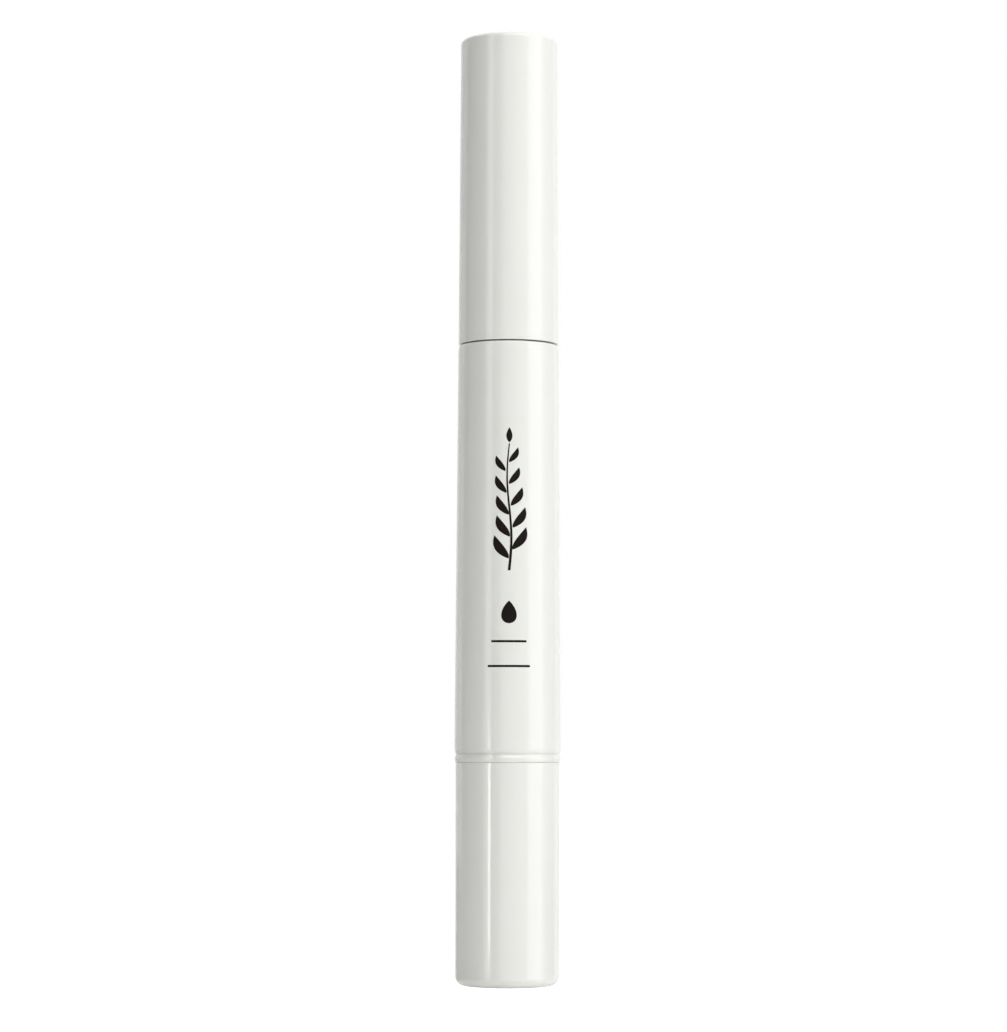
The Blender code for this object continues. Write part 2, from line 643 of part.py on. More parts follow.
def make_barrel_shell(body):
    """Tapered outer barrel with an inward lip that holds the tube's shoulder."""
    lip_z = BARREL_TOP_Z - LIP_HEIGHT
    outline = [
        (BARREL_BORE_RADIUS, BARREL_Z),
        (BARREL_BORE_RADIUS, lip_z),
        (LIP_RADIUS, lip_z),
        (LIP_RADIUS, BARREL_TOP_Z),
    ]
    outline += arc(
        BARREL_TOP_RADIUS - BARREL_FILLET, BARREL_TOP_Z - BARREL_FILLET, BARREL_FILLET, 90, 0
    )
    outline += arc(BARREL_FOOT_RADIUS - BARREL_FILLET, BARREL_Z + BARREL_FILLET, BARREL_FILLET, 0, -90)
    return turned("barrel_shell", outline, SHELL_SEGMENTS, GLOSS_WHITE, body)


def make_reservoir_tube(body):
    """Oil tube with a shoulder and a grooved neck."""
    groove_half = NECK_RING_RADIUS + SEAT_GAP
    outline = [
        (TUBE_BORE_RADIUS, TUBE_Z),
        (TUBE_RADIUS - EDGE_BREAK, TUBE_Z),
        (TUBE_RADIUS, TUBE_Z + EDGE_BREAK),
        (TUBE_RADIUS, SHOULDER_Z - EDGE_BREAK),
        (TUBE_RADIUS - EDGE_BREAK, SHOULDER_Z),
        (NECK_RADIUS, SHOULDER_Z),
        (NECK_RADIUS, NECK_RING_Z - groove_half),
        (GROOVE_RADIUS, NECK_RING_Z - groove_half),
        (GROOVE_RADIUS, NECK_RING_Z + groove_half),
        (NECK_RADIUS, NECK_RING_Z + groove_half),
        (NECK_RADIUS, NECK_TOP_Z - EDGE_BREAK),
        (NECK_RADIUS - EDGE_BREAK, NECK_TOP_Z),
        (NECK_BORE_RADIUS, NECK_TOP_Z),
        (NECK_BORE_RADIUS, SHOULDER_FLOOR_Z),
        (TUBE_BORE_RADIUS, SHOULDER_FLOOR_Z),
    ]
    return turned("reservoir_tube", outline, INNER_SEGMENTS, NATURAL_PLASTIC, body)


def make_neck_ring(body):
    """Round rubber ring in the neck's groove."""
    steps = SMALL_SEGMENTS // 3
    outline = []
    for step in range(steps):
        angle = math.tau * step / steps
        radius = NECK_RING_CENTRE + NECK_RING_RADIUS * math.cos(angle)
        outline.append((radius, NECK_RING_Z + NECK_RING_RADIUS * math.sin(angle)))
    return turned("neck_ring", outline, INNER_SEGMENTS, SOFT_RUBBER, body)


def make_seat_seal(body):
    """Flat gasket between the neck and the brush seat's flange."""
    outline = ring_outline(NECK_BORE_RADIUS, NECK_RADIUS - EDGE_BREAK, SEAL_Z, SEAL_Z + SEAL_HEIGHT)
    return turned("seat_seal", outline, INNER_SEGMENTS, SOFT_RUBBER, body)


def make_brush_seat(body):
    """Plug for the neck, with a tapering nose that holds the brush."""
    outline = [
        (SEAT_HOLLOW_RADIUS, SEAT_Z),
        (SEAT_PLUG_RADIUS - EDGE_BREAK, SEAT_Z),
        (SEAT_PLUG_RADIUS, SEAT_Z + EDGE_BREAK),
        (SEAT_PLUG_RADIUS, FLANGE_Z),
        (NECK_RADIUS, FLANGE_Z),
        (NECK_RADIUS, FLANGE_TOP_Z - EDGE_BREAK),
        (NECK_RADIUS - EDGE_BREAK, FLANGE_TOP_Z),
        (SEAT_PLUG_RADIUS, FLANGE_TOP_Z),
        (NOSE_RADIUS, CONE_TOP_Z),
        (NOSE_RADIUS, NOSE_Z - EDGE_BREAK),
        (NOSE_RADIUS - EDGE_BREAK, NOSE_Z),
        (SOCKET_RADIUS, NOSE_Z),
        (SOCKET_RADIUS, SOCKET_Z),
        (CHANNEL_RADIUS, SOCKET_Z),
        (CHANNEL_RADIUS, SEAT_HOLLOW_Z + SEAT_WALL),
        (SEAT_HOLLOW_RADIUS, SEAT_HOLLOW_Z),
    ]
    return turned("brush_seat", outline, INNER_SEGMENTS, NATURAL_PLASTIC, body)


def make_feed_tube(body):
    """Fine tube that carries oil from the seat into the brush."""
    outline = ring_outline(FEED_RADIUS - FEED_WALL, FEED_RADIUS, FEED_Z, FEED_TOP_Z)
    return turned("feed_tube", outline, SMALL_SEGMENTS // 2, NATURAL_PLASTIC, body)


def make_brush_ring(body):
    """Cup that binds the bristle roots, seated at the bottom of the socket."""
    outline = [
        (CHANNEL_RADIUS, BRUSH_RING_Z),
        (BRUSH_RING_RADIUS, BRUSH_RING_Z),
        (BRUSH_RING_RADIUS, BRUSH_RING_Z + BRUSH_RING_HEIGHT),
        (BRUSH_RING_RADIUS - BRUSH_RING_WALL, BRUSH_RING_Z + BRUSH_RING_HEIGHT),
        (BRUSH_RING_RADIUS - BRUSH_RING_WALL, BRUSH_RING_Z + BRUSH_RING_FLOOR),
        (CHANNEL_RADIUS, BRUSH_RING_Z + BRUSH_RING_FLOOR),
    ]
    return turned("brush_ring", outline, SMALL_SEGMENTS, SATIN_WHITE, body)


def make_bristle_tuft(body):
    """Tuft drawn as one tapered solid round the feed tube."""
    belly_radius = TUFT_ROOT_RADIUS + TUFT_SWELL
    belly_z = NOSE_Z + TUFT_LENGTH * TUFT_BELLY_SHARE
    shoulder_z = (belly_z + TUFT_TIP_Z) / 2
    outline = [
        (0, FEED_TOP_Z + RUNNING_GAP),
        (CHANNEL_RADIUS, FEED_TOP_Z + RUNNING_GAP),
        (CHANNEL_RADIUS, TUFT_Z),
        (TUFT_ROOT_RADIUS, TUFT_Z),
        (TUFT_ROOT_RADIUS, NOSE_Z),
        (belly_radius, belly_z),
        ((belly_radius + TUFT_ROOT_RADIUS) / 2, (belly_z + shoulder_z) / 2),
        ((belly_radius + TUFT_TIP_RADIUS) / 2, (shoulder_z + TUFT_TIP_Z) / 2),
        (TUFT_TIP_RADIUS, TUFT_TIP_Z),
        (0, TUFT_TIP_Z),
    ]
    return turned("bristle_tuft", outline, SMALL_SEGMENTS, NYLON, body)


def make_piston(body):
    """Plunger with two ring grooves and a snap socket for the screw's button."""
    ring_low, ring_high = piston_ring_heights()
    outline = [
        (0, PISTON_CEILING_Z),
        (PISTON_SOCKET_RADIUS, PISTON_CEILING_Z),
        (PISTON_SOCKET_RADIUS, PISTON_SOCKET_Z),
        (PISTON_MOUTH_RADIUS, PISTON_SOCKET_Z),
        (PISTON_MOUTH_RADIUS, PISTON_Z),
        (PISTON_RADIUS, PISTON_Z),
    ]
    for height in (ring_low, ring_high):
        outline += [
            (PISTON_RADIUS, height - SEAT_GAP),
            (PISTON_GROOVE_RADIUS, height - SEAT_GAP),
            (PISTON_GROOVE_RADIUS, height + PISTON_RING_HEIGHT + SEAT_GAP),
            (PISTON_RADIUS, height + PISTON_RING_HEIGHT + SEAT_GAP),
        ]
    outline += [
        (PISTON_RADIUS, PISTON_TOP_Z - EDGE_BREAK),
        (PISTON_RADIUS - EDGE_BREAK, PISTON_TOP_Z),
        (0, PISTON_TOP_Z),
    ]
    return turned("piston", outline, INNER_SEGMENTS, SATIN_WHITE, body)


def piston_ring_heights():
    """Undersides of the rear and the front lip ring."""
    rear = PISTON_Z + PISTON_RING_INSET
    front = PISTON_TOP_Z - PISTON_RING_INSET - PISTON_RING_HEIGHT
    return rear, front


def make_piston_rings(body):
    """Two silicone rings that wipe the reservoir's wall."""
    inner = PISTON_GROOVE_RADIUS + SEAT_GAP
    for name, height in zip(("piston_ring_rear", "piston_ring_front"), piston_ring_heights()):
        outline = ring_outline(inner, PISTON_RING_OUTER, height, height + PISTON_RING_HEIGHT, EDGE_BREAK)
        turned(name, outline, INNER_SEGMENTS, SOFT_RUBBER, body)


def make_cap_shell(body):
    """Long tapered cap, closed at the top."""
    outline = [
        (0, CEILING_Z),
        (CAP_BORE_RADIUS - CAP_BORE_DRAFT, CEILING_Z),
        (CAP_BORE_RADIUS, CAP_Z),
    ]
    outline += arc(CAP_MOUTH_RADIUS - CAP_MOUTH_FILLET, CAP_Z + CAP_MOUTH_FILLET, CAP_MOUTH_FILLET, -90, 0)
    outline += arc(CAP_TOP_RADIUS - CAP_TOP_FILLET, PEN_TOP_Z - CAP_TOP_FILLET, CAP_TOP_FILLET, 0, 90)
    outline += [(0, PEN_TOP_Z)]
    return turned("cap_shell", outline, SHELL_SEGMENTS, GLOSS_WHITE, body)


def make_cap_liner(body):
    """Inner sleeve of the cap, whose web stops on the brush seat's flange."""
    outline = [
        (LINER_BORE_RADIUS + EDGE_BREAK, LINER_Z),
        (LINER_RADIUS, LINER_Z),
        (LINER_RADIUS, WEB_Z + LINER_WEB),
        (LINER_WEB_RADIUS, WEB_Z + LINER_WEB),
        (LINER_WEB_RADIUS, WEB_Z),
        (LINER_BORE_RADIUS, WEB_Z),
        (LINER_BORE_RADIUS, LINER_Z + EDGE_BREAK),
    ]
    return turned("cap_liner", outline, INNER_SEGMENTS, NATURAL_PLASTIC, body)


def build_pen():
    """Make every piece on the body that carries it."""
    barrel = make_body("barrel_axis", BARREL_Z)
    cap = make_body("cap_axis", CAP_Z)
    knob = make_body("knob_axis", 0)
    piston = make_body("piston_axis", PISTON_Z)
    screw = make_body("screw_axis", SCREW_Z)

    make_barrel_shell(barrel)
    make_rear_bushing(barrel)
    make_ratchet_ring(barrel)
    make_thread_nut(barrel)
    make_reservoir_tube(barrel)
    make_neck_ring(barrel)
    make_seat_seal(barrel)
    make_brush_seat(barrel)
    make_feed_tube(barrel)
    make_brush_ring(barrel)
    make_bristle_tuft(barrel)

    make_knob_shell(knob)
    make_drive_sleeve(knob)
    make_pawl_ring(knob)

    make_piston(piston)
    make_piston_rings(piston)
    make_lead_screw(screw)

    make_cap_shell(cap)
    make_cap_liner(cap)


clear_scene()
build_pen()
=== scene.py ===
"""Looks of a twist-up nail oil pen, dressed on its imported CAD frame.

The frame gives every seat, height and outer radius. This script turns the
pieces that show as fine moulded shells, lays the printed ornament round the
barrel, plants the brush filament by filament, gives every piece the plastic,
rubber or nylon that it is made of, and lights the pen in a plain white studio.

Units are metres and +Z is up. The camera looks along +Y.
"""

import logging
import math
import random
from collections.abc import Sequence
from dataclasses import dataclass
from enum import Enum
from functools import cache
from typing import NamedTuple

import bmesh
import bpy
from bmesh.types import BMesh, BMVert
from bpy.types import Material, Node, NodeSocket, NodeTree, Object
from mathutils import Euler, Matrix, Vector

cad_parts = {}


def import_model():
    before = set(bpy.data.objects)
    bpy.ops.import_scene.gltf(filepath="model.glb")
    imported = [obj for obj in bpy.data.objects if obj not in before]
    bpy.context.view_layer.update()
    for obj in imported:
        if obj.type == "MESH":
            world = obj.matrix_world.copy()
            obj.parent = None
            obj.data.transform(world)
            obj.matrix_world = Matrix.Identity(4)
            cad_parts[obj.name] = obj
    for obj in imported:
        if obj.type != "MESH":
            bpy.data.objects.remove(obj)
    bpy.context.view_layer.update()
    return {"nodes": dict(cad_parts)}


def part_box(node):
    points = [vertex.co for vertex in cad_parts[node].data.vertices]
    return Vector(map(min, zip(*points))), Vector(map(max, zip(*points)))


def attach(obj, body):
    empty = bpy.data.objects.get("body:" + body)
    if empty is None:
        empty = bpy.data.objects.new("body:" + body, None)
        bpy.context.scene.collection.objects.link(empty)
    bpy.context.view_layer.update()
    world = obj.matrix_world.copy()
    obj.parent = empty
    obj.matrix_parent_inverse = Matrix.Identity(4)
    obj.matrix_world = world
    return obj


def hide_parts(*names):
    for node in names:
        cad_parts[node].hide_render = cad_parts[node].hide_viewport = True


LOG = logging.getLogger("oil_pen")
MM = 0.001


class Body(Enum):
    """Bodies that the visual pieces ride on."""

    BARREL = "barrel"
    CAP = "cap"
    KNOB = "knob"


class Slot(Enum):
    """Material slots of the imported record."""

    GLOSS_ABS = "gloss_white_abs"
    POLYPROPYLENE = "natural_polypropylene"
    POLYETHYLENE = "white_polyethylene"
    WHITE_ACETAL = "white_acetal"
    GREY_ACETAL = "grey_acetal"
    SILICONE = "silicone_rubber"
    NYLON = "nylon_bristle"


def linear_colour(code: str) -> tuple[float, float, float, float]:
    """Turn an sRGB hex colour into linear light.

    Args:
        code: The colour as #RRGGBB.

    Returns:
        Linear red, green and blue, and an alpha of one.
    """
    channels = []
    for start in (1, 3, 5):
        value = int(code[start : start + 2], 16) / 255
        channels.append(value / 12.92 if value <= 0.04045 else ((value + 0.055) / 1.055) ** 2.4)
    return (*channels, 1.0)


def per_metre(size_mm: float) -> float:
    """Scale of a procedural pattern whose features are that many millimetres wide."""
    return 1.0 / (size_mm * MM)


def add_node(
    tree: NodeTree,
    kind: str,
    settings: dict[str, object] | None = None,
    links: dict[str | int, NodeSocket] | None = None,
) -> Node:
    """Add one shader node with its settings and its incoming links.

    Args:
        tree: The node tree that gets it.
        kind: The node's type, after ShaderNode.
        settings: Values by input name, or by property name where no input has it.
        links: Output sockets by the name or number of the input that each one feeds.

    Returns:
        The new node.
    """
    node = tree.nodes.new(f"ShaderNode{kind}")
    for name, value in (settings or {}).items():
        if name in node.inputs:
            node.inputs[name].default_value = value
        else:
            setattr(node, name, value)
    for name, socket in (links or {}).items():
        tree.links.new(socket, node.inputs[name])
    return node


def blank_material(name: str) -> tuple[Material, NodeTree, NodeSocket]:
    """Make a material whose tree holds its output alone.

    Args:
        name: The material's name.

    Returns:
        The material, its tree and the socket that its surface goes into.
    """
    material = bpy.data.materials.new(name)
    material.use_nodes = True
    material.node_tree.nodes.clear()
    output = add_node(material.node_tree, "OutputMaterial")
    return material, material.node_tree, output.inputs["Surface"]


class Relief(NamedTuple):
    """A fine relief: the width and the depth of its features in millimetres, and its detail."""

    width_mm: float
    depth_mm: float
    detail: float


@dataclass(frozen=True)
class Finish:
    """What a piece is made of: clouded pigment, its gloss and the relief that its making leaves.

    The roughness runs from its sharpest to its dullest places. The waves of the
    moulded finishes are drawn a little deeper than a polished mould leaves them,
    so that they show in a highlight.
    """

    name: str
    slot: Slot | None
    pigments: tuple[str, str]
    cloud_mm: float
    roughness: tuple[float, float]
    ior: float
    reliefs: tuple[Relief, ...] = ()
    cloud_detail: float = 3.0
    cloud_roughness: float = 0.55
    along_share: float = 1.0
    scatter: float = 0.0
    scatter_mm: float = 0.0
    blue_reach_share: float = 0.9
    transmission: float = 0.0
    specular_level: float = 0.5

    def build(self) -> Material:
        """Make the material.

        Returns:
            A material with its nodes in place.
        """
        material, tree, surface = blank_material(self.name)
        origin = add_node(tree, "TexCoord").outputs["Object"]
        stretch = {"Scale": (1.0, 1.0, self.along_share)}
        place = add_node(tree, "Mapping", stretch, {"Vector": origin}).outputs["Vector"]
        clouding = {
            "Scale": per_metre(self.cloud_mm),
            "Detail": self.cloud_detail,
            "Roughness": self.cloud_roughness,
        }
        clouds = add_node(tree, "TexNoise", clouding, {"Vector": place}).outputs["Fac"]
        tint = add_node(tree, "ValToRGB", links={"Fac": clouds})
        for stop, pigment in zip(tint.color_ramp.elements, self.pigments):
            stop.color = linear_colour(pigment)
        limits = dict(zip(("To Min", "To Max"), self.roughness))
        gloss = add_node(tree, "MapRange", limits, {"Value": clouds})
        normal = {}
        for relief in self.reliefs:
            pattern = {"Scale": per_metre(relief.width_mm), "Detail": relief.detail}
            height = add_node(tree, "TexNoise", pattern, {"Vector": place}).outputs["Fac"]
            depth = {"Distance": relief.depth_mm * MM}
            bump = add_node(tree, "Bump", depth, {"Height": height} | normal)
            normal = {"Normal": bump.outputs["Normal"]}
        reach = self.scatter_mm * MM
        shader = add_node(
            tree,
            "BsdfPrincipled",
            {
                "IOR": self.ior,
                "Specular IOR Level": self.specular_level,
                "Subsurface Weight": self.scatter,
                "Subsurface Radius": (reach, reach, reach * self.blue_reach_share),
                "Subsurface Scale": 1.0,
                "Transmission Weight": self.transmission,
            },
            {"Base Color": tint.outputs["Color"], "Roughness": gloss.outputs["Result"]} | normal,
        )
        tree.links.new(shader.outputs["BSDF"], surface)
        return material


# White ABS from a polished mould: an even, faintly warm white with sharp reflections
GLOSS_ABS = Finish(
    name="abs_polished_mould",
    slot=Slot.GLOSS_ABS,
    pigments=("#EBECE5", "#EDEEE8"),
    cloud_mm=6.0,
    roughness=(0.07, 0.09),
    ior=1.53,
    reliefs=(Relief(2.6, 0.0005, 1.0), Relief(0.12, 0.00006, 2.0)),
)
# Natural polypropylene: milky and a little see-through, with a soft waxy shine
NATURAL_POLYPROPYLENE = Finish(
    name="polypropylene_natural_moulded",
    slot=Slot.POLYPROPYLENE,
    pigments=("#E4E7E2", "#EEF0EC"),
    cloud_mm=3.5,
    roughness=(0.21, 0.27),
    ior=1.49,
    reliefs=(Relief(1.4, 0.0015, 1.0), Relief(0.09, 0.0003, 2.0)),
    scatter=0.6,
    scatter_mm=0.9,
    transmission=0.22,
)
# White polyethylene: softer than ABS, a dull satin that hides small marks
WHITE_POLYETHYLENE = Finish(
    name="polyethylene_white_moulded",
    slot=Slot.POLYETHYLENE,
    pigments=("#DFDFD8", "#E6E6E0"),
    cloud_mm=2.5,
    roughness=(0.37, 0.47),
    ior=1.51,
    reliefs=(Relief(1.2, 0.002, 1.0), Relief(0.1, 0.0006, 2.0)),
    scatter=0.2,
    scatter_mm=0.4,
)
# Acetal: dense and slick, with a tight sheen on the running faces
WHITE_ACETAL = Finish(
    name="acetal_white_moulded",
    slot=Slot.WHITE_ACETAL,
    pigments=("#DADAD4", "#E2E2DD"),
    cloud_mm=2.0,
    roughness=(0.23, 0.31),
    ior=1.48,
    reliefs=(Relief(1.0, 0.0015, 1.0), Relief(0.08, 0.0004, 2.0)),
    scatter=0.1,
    scatter_mm=0.3,
)
# Acetal with grey pigment, which lets no light into it
GREY_ACETAL = Finish(
    name="acetal_grey_moulded",
    slot=Slot.GREY_ACETAL,
    pigments=("#9A9C9F", "#A4A6A8"),
    cloud_mm=2.0,
    roughness=(0.28, 0.38),
    ior=1.48,
    reliefs=(Relief(1.0, 0.0015, 1.0), Relief(0.08, 0.0005, 2.0)),
)
# Silicone rubber: soft, cloudy and matt, with light bleeding through thin edges
SILICONE_RUBBER = Finish(
    name="silicone_compression_moulded",
    slot=Slot.SILICONE,
    pigments=("#CFCDC3", "#DAD8CF"),
    cloud_mm=1.2,
    roughness=(0.46, 0.58),
    ior=1.41,
    reliefs=(Relief(0.8, 0.002, 1.0), Relief(0.06, 0.0012, 2.0)),
    scatter=0.5,
    scatter_mm=0.5,
)
# Drawn nylon: clear-cored, so each hair is a slightly different cream, nearly even along it
DRAWN_NYLON = Finish(
    name="nylon_drawn_filament",
    slot=Slot.NYLON,
    pigments=("#CDBF9F", "#F0E9D6"),
    cloud_mm=0.16,
    roughness=(0.28, 0.4),
    ior=1.53,
    cloud_detail=0.0,
    along_share=0.02,
    scatter=0.35,
    scatter_mm=0.12,
    blue_reach_share=1.0,
)
# Pad-printed ink: a thin dark film, far duller than the plastic it lies on
PAD_PRINTED_INK = Finish(
    name="ink_pad_printed",
    slot=None,
    pigments=("#0E0707", "#1B1112"),
    cloud_mm=0.25,
    roughness=(0.6, 0.6),
    ior=1.5,
    reliefs=(Relief(0.25, 0.0008, 3.0),),
    cloud_roughness=0.5,
    specular_level=0.1,
)


@cache
def material_of(finish: Finish) -> Material:
    """Give the one material of a finish, built when a piece first asks for it."""
    return finish.build()


class Corner(NamedTuple):
    """A corner of a turned outline: radius, height and how far it is rounded."""

    radius: float
    height: float
    rounding: float = 0.0


ROUNDING_STEPS = 7
SHELL_FACETS = 192
SMALL_FACETS = 96
SHARP_EDGE = math.radians(32)
# Length of the flat held beside each rounded corner, so that shading stays true there
EDGE_HOLD = 0.05 * MM
# Shares of the shorter side that a rounding and its hold may take
CUT_SHARE = 0.47
HOLD_SHARE = 0.02


def rounded_corner(before: Vector, corner: Corner, after: Vector) -> list[Vector]:
    """Round one corner of an outline.

    Args:
        before: The point before the corner.
        corner: The corner.
        after: The point after it.

    Returns:
        The points that stand for the corner, with a short hold at both sides.
    """
    tip = Vector((corner.radius, corner.height))
    if corner.rounding <= 0:
        return [tip]
    to_before = (before - tip).normalized()
    to_after = (after - tip).normalized()
    half = to_before.angle(to_after) / 2
    shortest = min((before - tip).length, (after - tip).length)
    cut = min(corner.rounding / math.tan(half), shortest * CUT_SHARE)
    hold = min(EDGE_HOLD, shortest * HOLD_SHARE)
    radius = cut * math.tan(half)
    centre = tip + (to_before + to_after).normalized() * (radius / math.sin(half))
    start = (tip + to_before * cut - centre).normalized()
    end = (tip + to_after * cut - centre).normalized()
    shares = [step / ROUNDING_STEPS for step in range(ROUNDING_STEPS + 1)]
    arc = [centre + start.slerp(end, share) * radius for share in shares]
    return [tip + to_before * (cut + hold), *arc, tip + to_after * (cut + hold)]


def rounded_outline(corners: Sequence[Corner]) -> list[Vector]:
    """Round the corners of an outline in the radius-height plane.

    Args:
        corners: Its corners in order. Those on the axis are never rounded.

    Returns:
        The outline's points.
    """
    bare = [Vector((corner.radius, corner.height)) for corner in corners]
    points: list[Vector] = []
    for index, corner in enumerate(corners):
        points += rounded_corner(bare[index - 1], corner, bare[(index + 1) % len(bare)])
    return points


def new_object(name: str, data: bpy.types.ID) -> Object:
    """Link a new object into the scene.

    Args:
        name: The object's name.
        data: Its mesh, lamp or camera.

    Returns:
        The object.
    """
    thing = bpy.data.objects.new(name, data)
    bpy.context.scene.collection.objects.link(thing)
    return thing


def finish_mesh(name: str, builder: BMesh) -> Object:
    """Turn built faces into a smooth object whose faces point outwards.

    Args:
        name: The object's name.
        builder: The built faces, freed here.

    Returns:
        The object.
    """
    bmesh.ops.recalc_face_normals(builder, faces=builder.faces)
    mesh = bpy.data.meshes.new(name)
    builder.to_mesh(mesh)
    builder.free()
    mesh.shade_smooth()
    mesh.set_sharp_from_angle(angle=SHARP_EDGE)
    return new_object(name, mesh)


def polar_place(reach: float, angle: float, height: float) -> tuple[float, float, float]:
    """Place at a distance from the axis, an angle round it and a height."""
    return reach * math.cos(angle), reach * math.sin(angle), height


def join_rings(builder: BMesh, rings: Sequence[list[BMVert]]) -> None:
    """Join each ring of points to the next with a band of faces.

    Args:
        builder: Collects the faces.
        rings: Rings with as many points each. On the axis, one point takes up a ring.
    """
    for low, high in zip(rings, rings[1:]):
        for index, point in enumerate(low):
            following = (index + 1) % len(low)
            loop = (point, low[following], high[following], high[index])
            builder.faces.new(list(dict.fromkeys(loop)))


def turned_piece(name: str, outline: Sequence[tuple[float, ...]], facets: int = SHELL_FACETS) -> Object:
    """Turn an outline round the pen's axis.

    Args:
        name: The piece's name.
        outline: Its corners in order, each with a radius, a height and, where
            it is rounded, how far.
        facets: Faces round the axis.

    Returns:
        The turned piece.
    """
    corners = [Corner(*corner) for corner in outline]
    builder = bmesh.new()
    rings = []
    for point in rounded_outline(corners):
        if point.x <= 0:
            rings.append([builder.verts.new((0.0, 0.0, point.y))] * facets)
            continue
        places = [polar_place(point.x, math.tau * facet / facets, point.y) for facet in range(facets)]
        rings.append([builder.verts.new(place) for place in places])
    if corners[0].radius > 0:
        rings.append(rings[0])
    join_rings(builder, rings)
    return finish_mesh(name, builder)


def plain_ring(name: str, node: str, wall: float, softness: float) -> Object:
    """Turn a ring with four like corners, as wide and high as its CAD node.

    Args:
        name: The piece's name.
        node: The CAD node.
        wall: How far in it reaches from its outside.
        softness: The rounding of its corners, as a share of its thinner side.

    Returns:
        The turned ring.
    """
    outer, bottom, top = top_and_bottom(node)
    edge = min(wall, top - bottom) * softness
    sides = ((outer - wall, bottom), (outer, bottom), (outer, top), (outer - wall, top))
    return turned_piece(name, [(*side, edge) for side in sides], SMALL_FACETS)


def fit_piece(piece: Object, finish: Finish, body: Body, stands_for: str | None = None) -> None:
    """Dress a piece and hang it on the body that carries it.

    Args:
        piece: The built piece, in place.
        finish: What it is made of.
        body: The body that it moves with.
        stands_for: The CAD node that it is shown for, if there is one.
    """
    piece.data.materials.append(material_of(finish))
    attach(piece, body.value)
    if stands_for:
        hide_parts(stands_for)
    LOG.info("%s rides on %s in %s", piece.name, body.value, finish.name)


def top_and_bottom(node: str) -> tuple[float, float, float]:
    """Read a round CAD node's outer radius, underside and top from the frame."""
    low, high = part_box(node)
    return high.x, low.z, high.z


@dataclass
class Cap:
    """Pull-off cap: a long shell and the sleeve that grips the neck."""

    wall: float = 0.9 * MM
    roof: float = 1.3 * MM
    taper: float = 0.24 * MM
    bore_draft: float = 0.15 * MM
    mouth_rounding: float = 0.1 * MM
    mouth_drop: float = 0.05 * MM
    top_rounding: float = 0.6 * MM
    bore_rounding: float = 0.08 * MM
    ceiling_rounding: float = 0.5 * MM
    liner_wall: float = 0.6 * MM
    web: float = 0.9 * MM
    web_reach: float = 1.2 * MM
    liner_lead: float = 0.2 * MM
    liner_edge: float = 0.08 * MM

    def build(self) -> None:
        """Build and dress both pieces."""
        fit_piece(self.build_shell(), GLOSS_ABS, Body.CAP, "cap_shell")
        fit_piece(self.build_liner(), NATURAL_POLYPROPYLENE, Body.CAP, "cap_liner")

    def build_shell(self) -> Object:
        """Turn the outer shell, closed at the top.

        Returns:
            The shell.
        """
        mouth, seam, top = top_and_bottom("cap_shell")
        bottom = seam - self.mouth_drop
        bore = mouth - self.wall
        outline = [
            (0.0, top - self.roof),
            (bore - self.bore_draft, top - self.roof, self.ceiling_rounding),
            (bore, bottom, self.bore_rounding),
            (mouth, bottom, self.mouth_rounding),
            (mouth - self.taper, top, self.top_rounding),
            (0.0, top),
        ]
        return turned_piece("cap_outer_shell", outline)

    def build_liner(self) -> Object:
        """Turn the grip sleeve with the web that stops on the brush seat.

        Returns:
            The sleeve.
        """
        outer, bottom, top = top_and_bottom("cap_liner")
        bore = outer - self.liner_wall
        web_bottom = top - self.web
        lead, edge = self.liner_lead, self.liner_edge
        outline = [
            (bore + lead, bottom, edge),
            (outer, bottom, edge),
            (outer, top, lead),
            (bore - self.web_reach, top, lead),
            (bore - self.web_reach, web_bottom, lead),
            (bore, web_bottom, lead),
            (bore, bottom + lead, edge),
        ]
        return turned_piece("cap_grip_sleeve", outline, SMALL_FACETS)


@dataclass
class Knob:
    """Twist knob with a closed, rounded foot, on which the pen stands."""

    wall: float = 1.05 * MM
    floor: float = 1.2 * MM
    taper: float = 0.05 * MM
    foot_rounding: float = 1.3 * MM
    top_rounding: float = 0.12 * MM
    ledge: float = 0.35 * MM
    ledge_rise: float = 0.1 * MM
    bead: float = 0.25 * MM
    bead_height: float = 0.8 * MM
    bead_drop: float = 4.28 * MM

    def build(self) -> None:
        """Build and dress the knob."""
        fit_piece(self.build_shell(), GLOSS_ABS, Body.KNOB, "knob_shell")

    def build_shell(self) -> Object:
        """Turn the shell with its inner ledge and snap bead.

        Returns:
            The shell.
        """
        outer, foot, top = top_and_bottom("knob_shell")
        bore = outer - self.wall
        ledge_top = disc_underside() - self.ledge_rise
        ledge_radius = bore - self.ledge
        bead_top = top - self.bead_drop
        outline = [
            (0.0, foot + self.floor),
            (ledge_radius, foot + self.floor, self.foot_rounding / 2),
            (ledge_radius, ledge_top, self.bead / 2),
            (bore, ledge_top),
            (bore, bead_top - self.bead_height),
            (bore - self.bead, bead_top - self.bead_height, self.bead / 3),
            (bore - self.bead, bead_top, self.bead / 3),
            (bore, bead_top),
            (bore, top, self.top_rounding / 4),
            (outer, top, self.top_rounding),
            (outer - self.taper, foot, self.foot_rounding),
            (0.0, foot),
        ]
        return turned_piece("knob_outer_shell", outline)


# Share of the disc's radius past which a point of the drive sleeve is on its rim
RIM_SHARE = 0.95
# Length at the drive sleeve's top that is its plain journal
JOURNAL_LENGTH = 1.0 * MM


def disc_underside() -> float:
    """Read the height of the underside of the drive sleeve's disc from the frame.

    Returns:
        The height.
    """
    points = [point.co for point in bpy.data.objects["drive_sleeve"].data.vertices]
    rim_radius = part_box("drive_sleeve")[1].x * RIM_SHARE
    return min(point.z for point in points if point.xy.length > rim_radius)


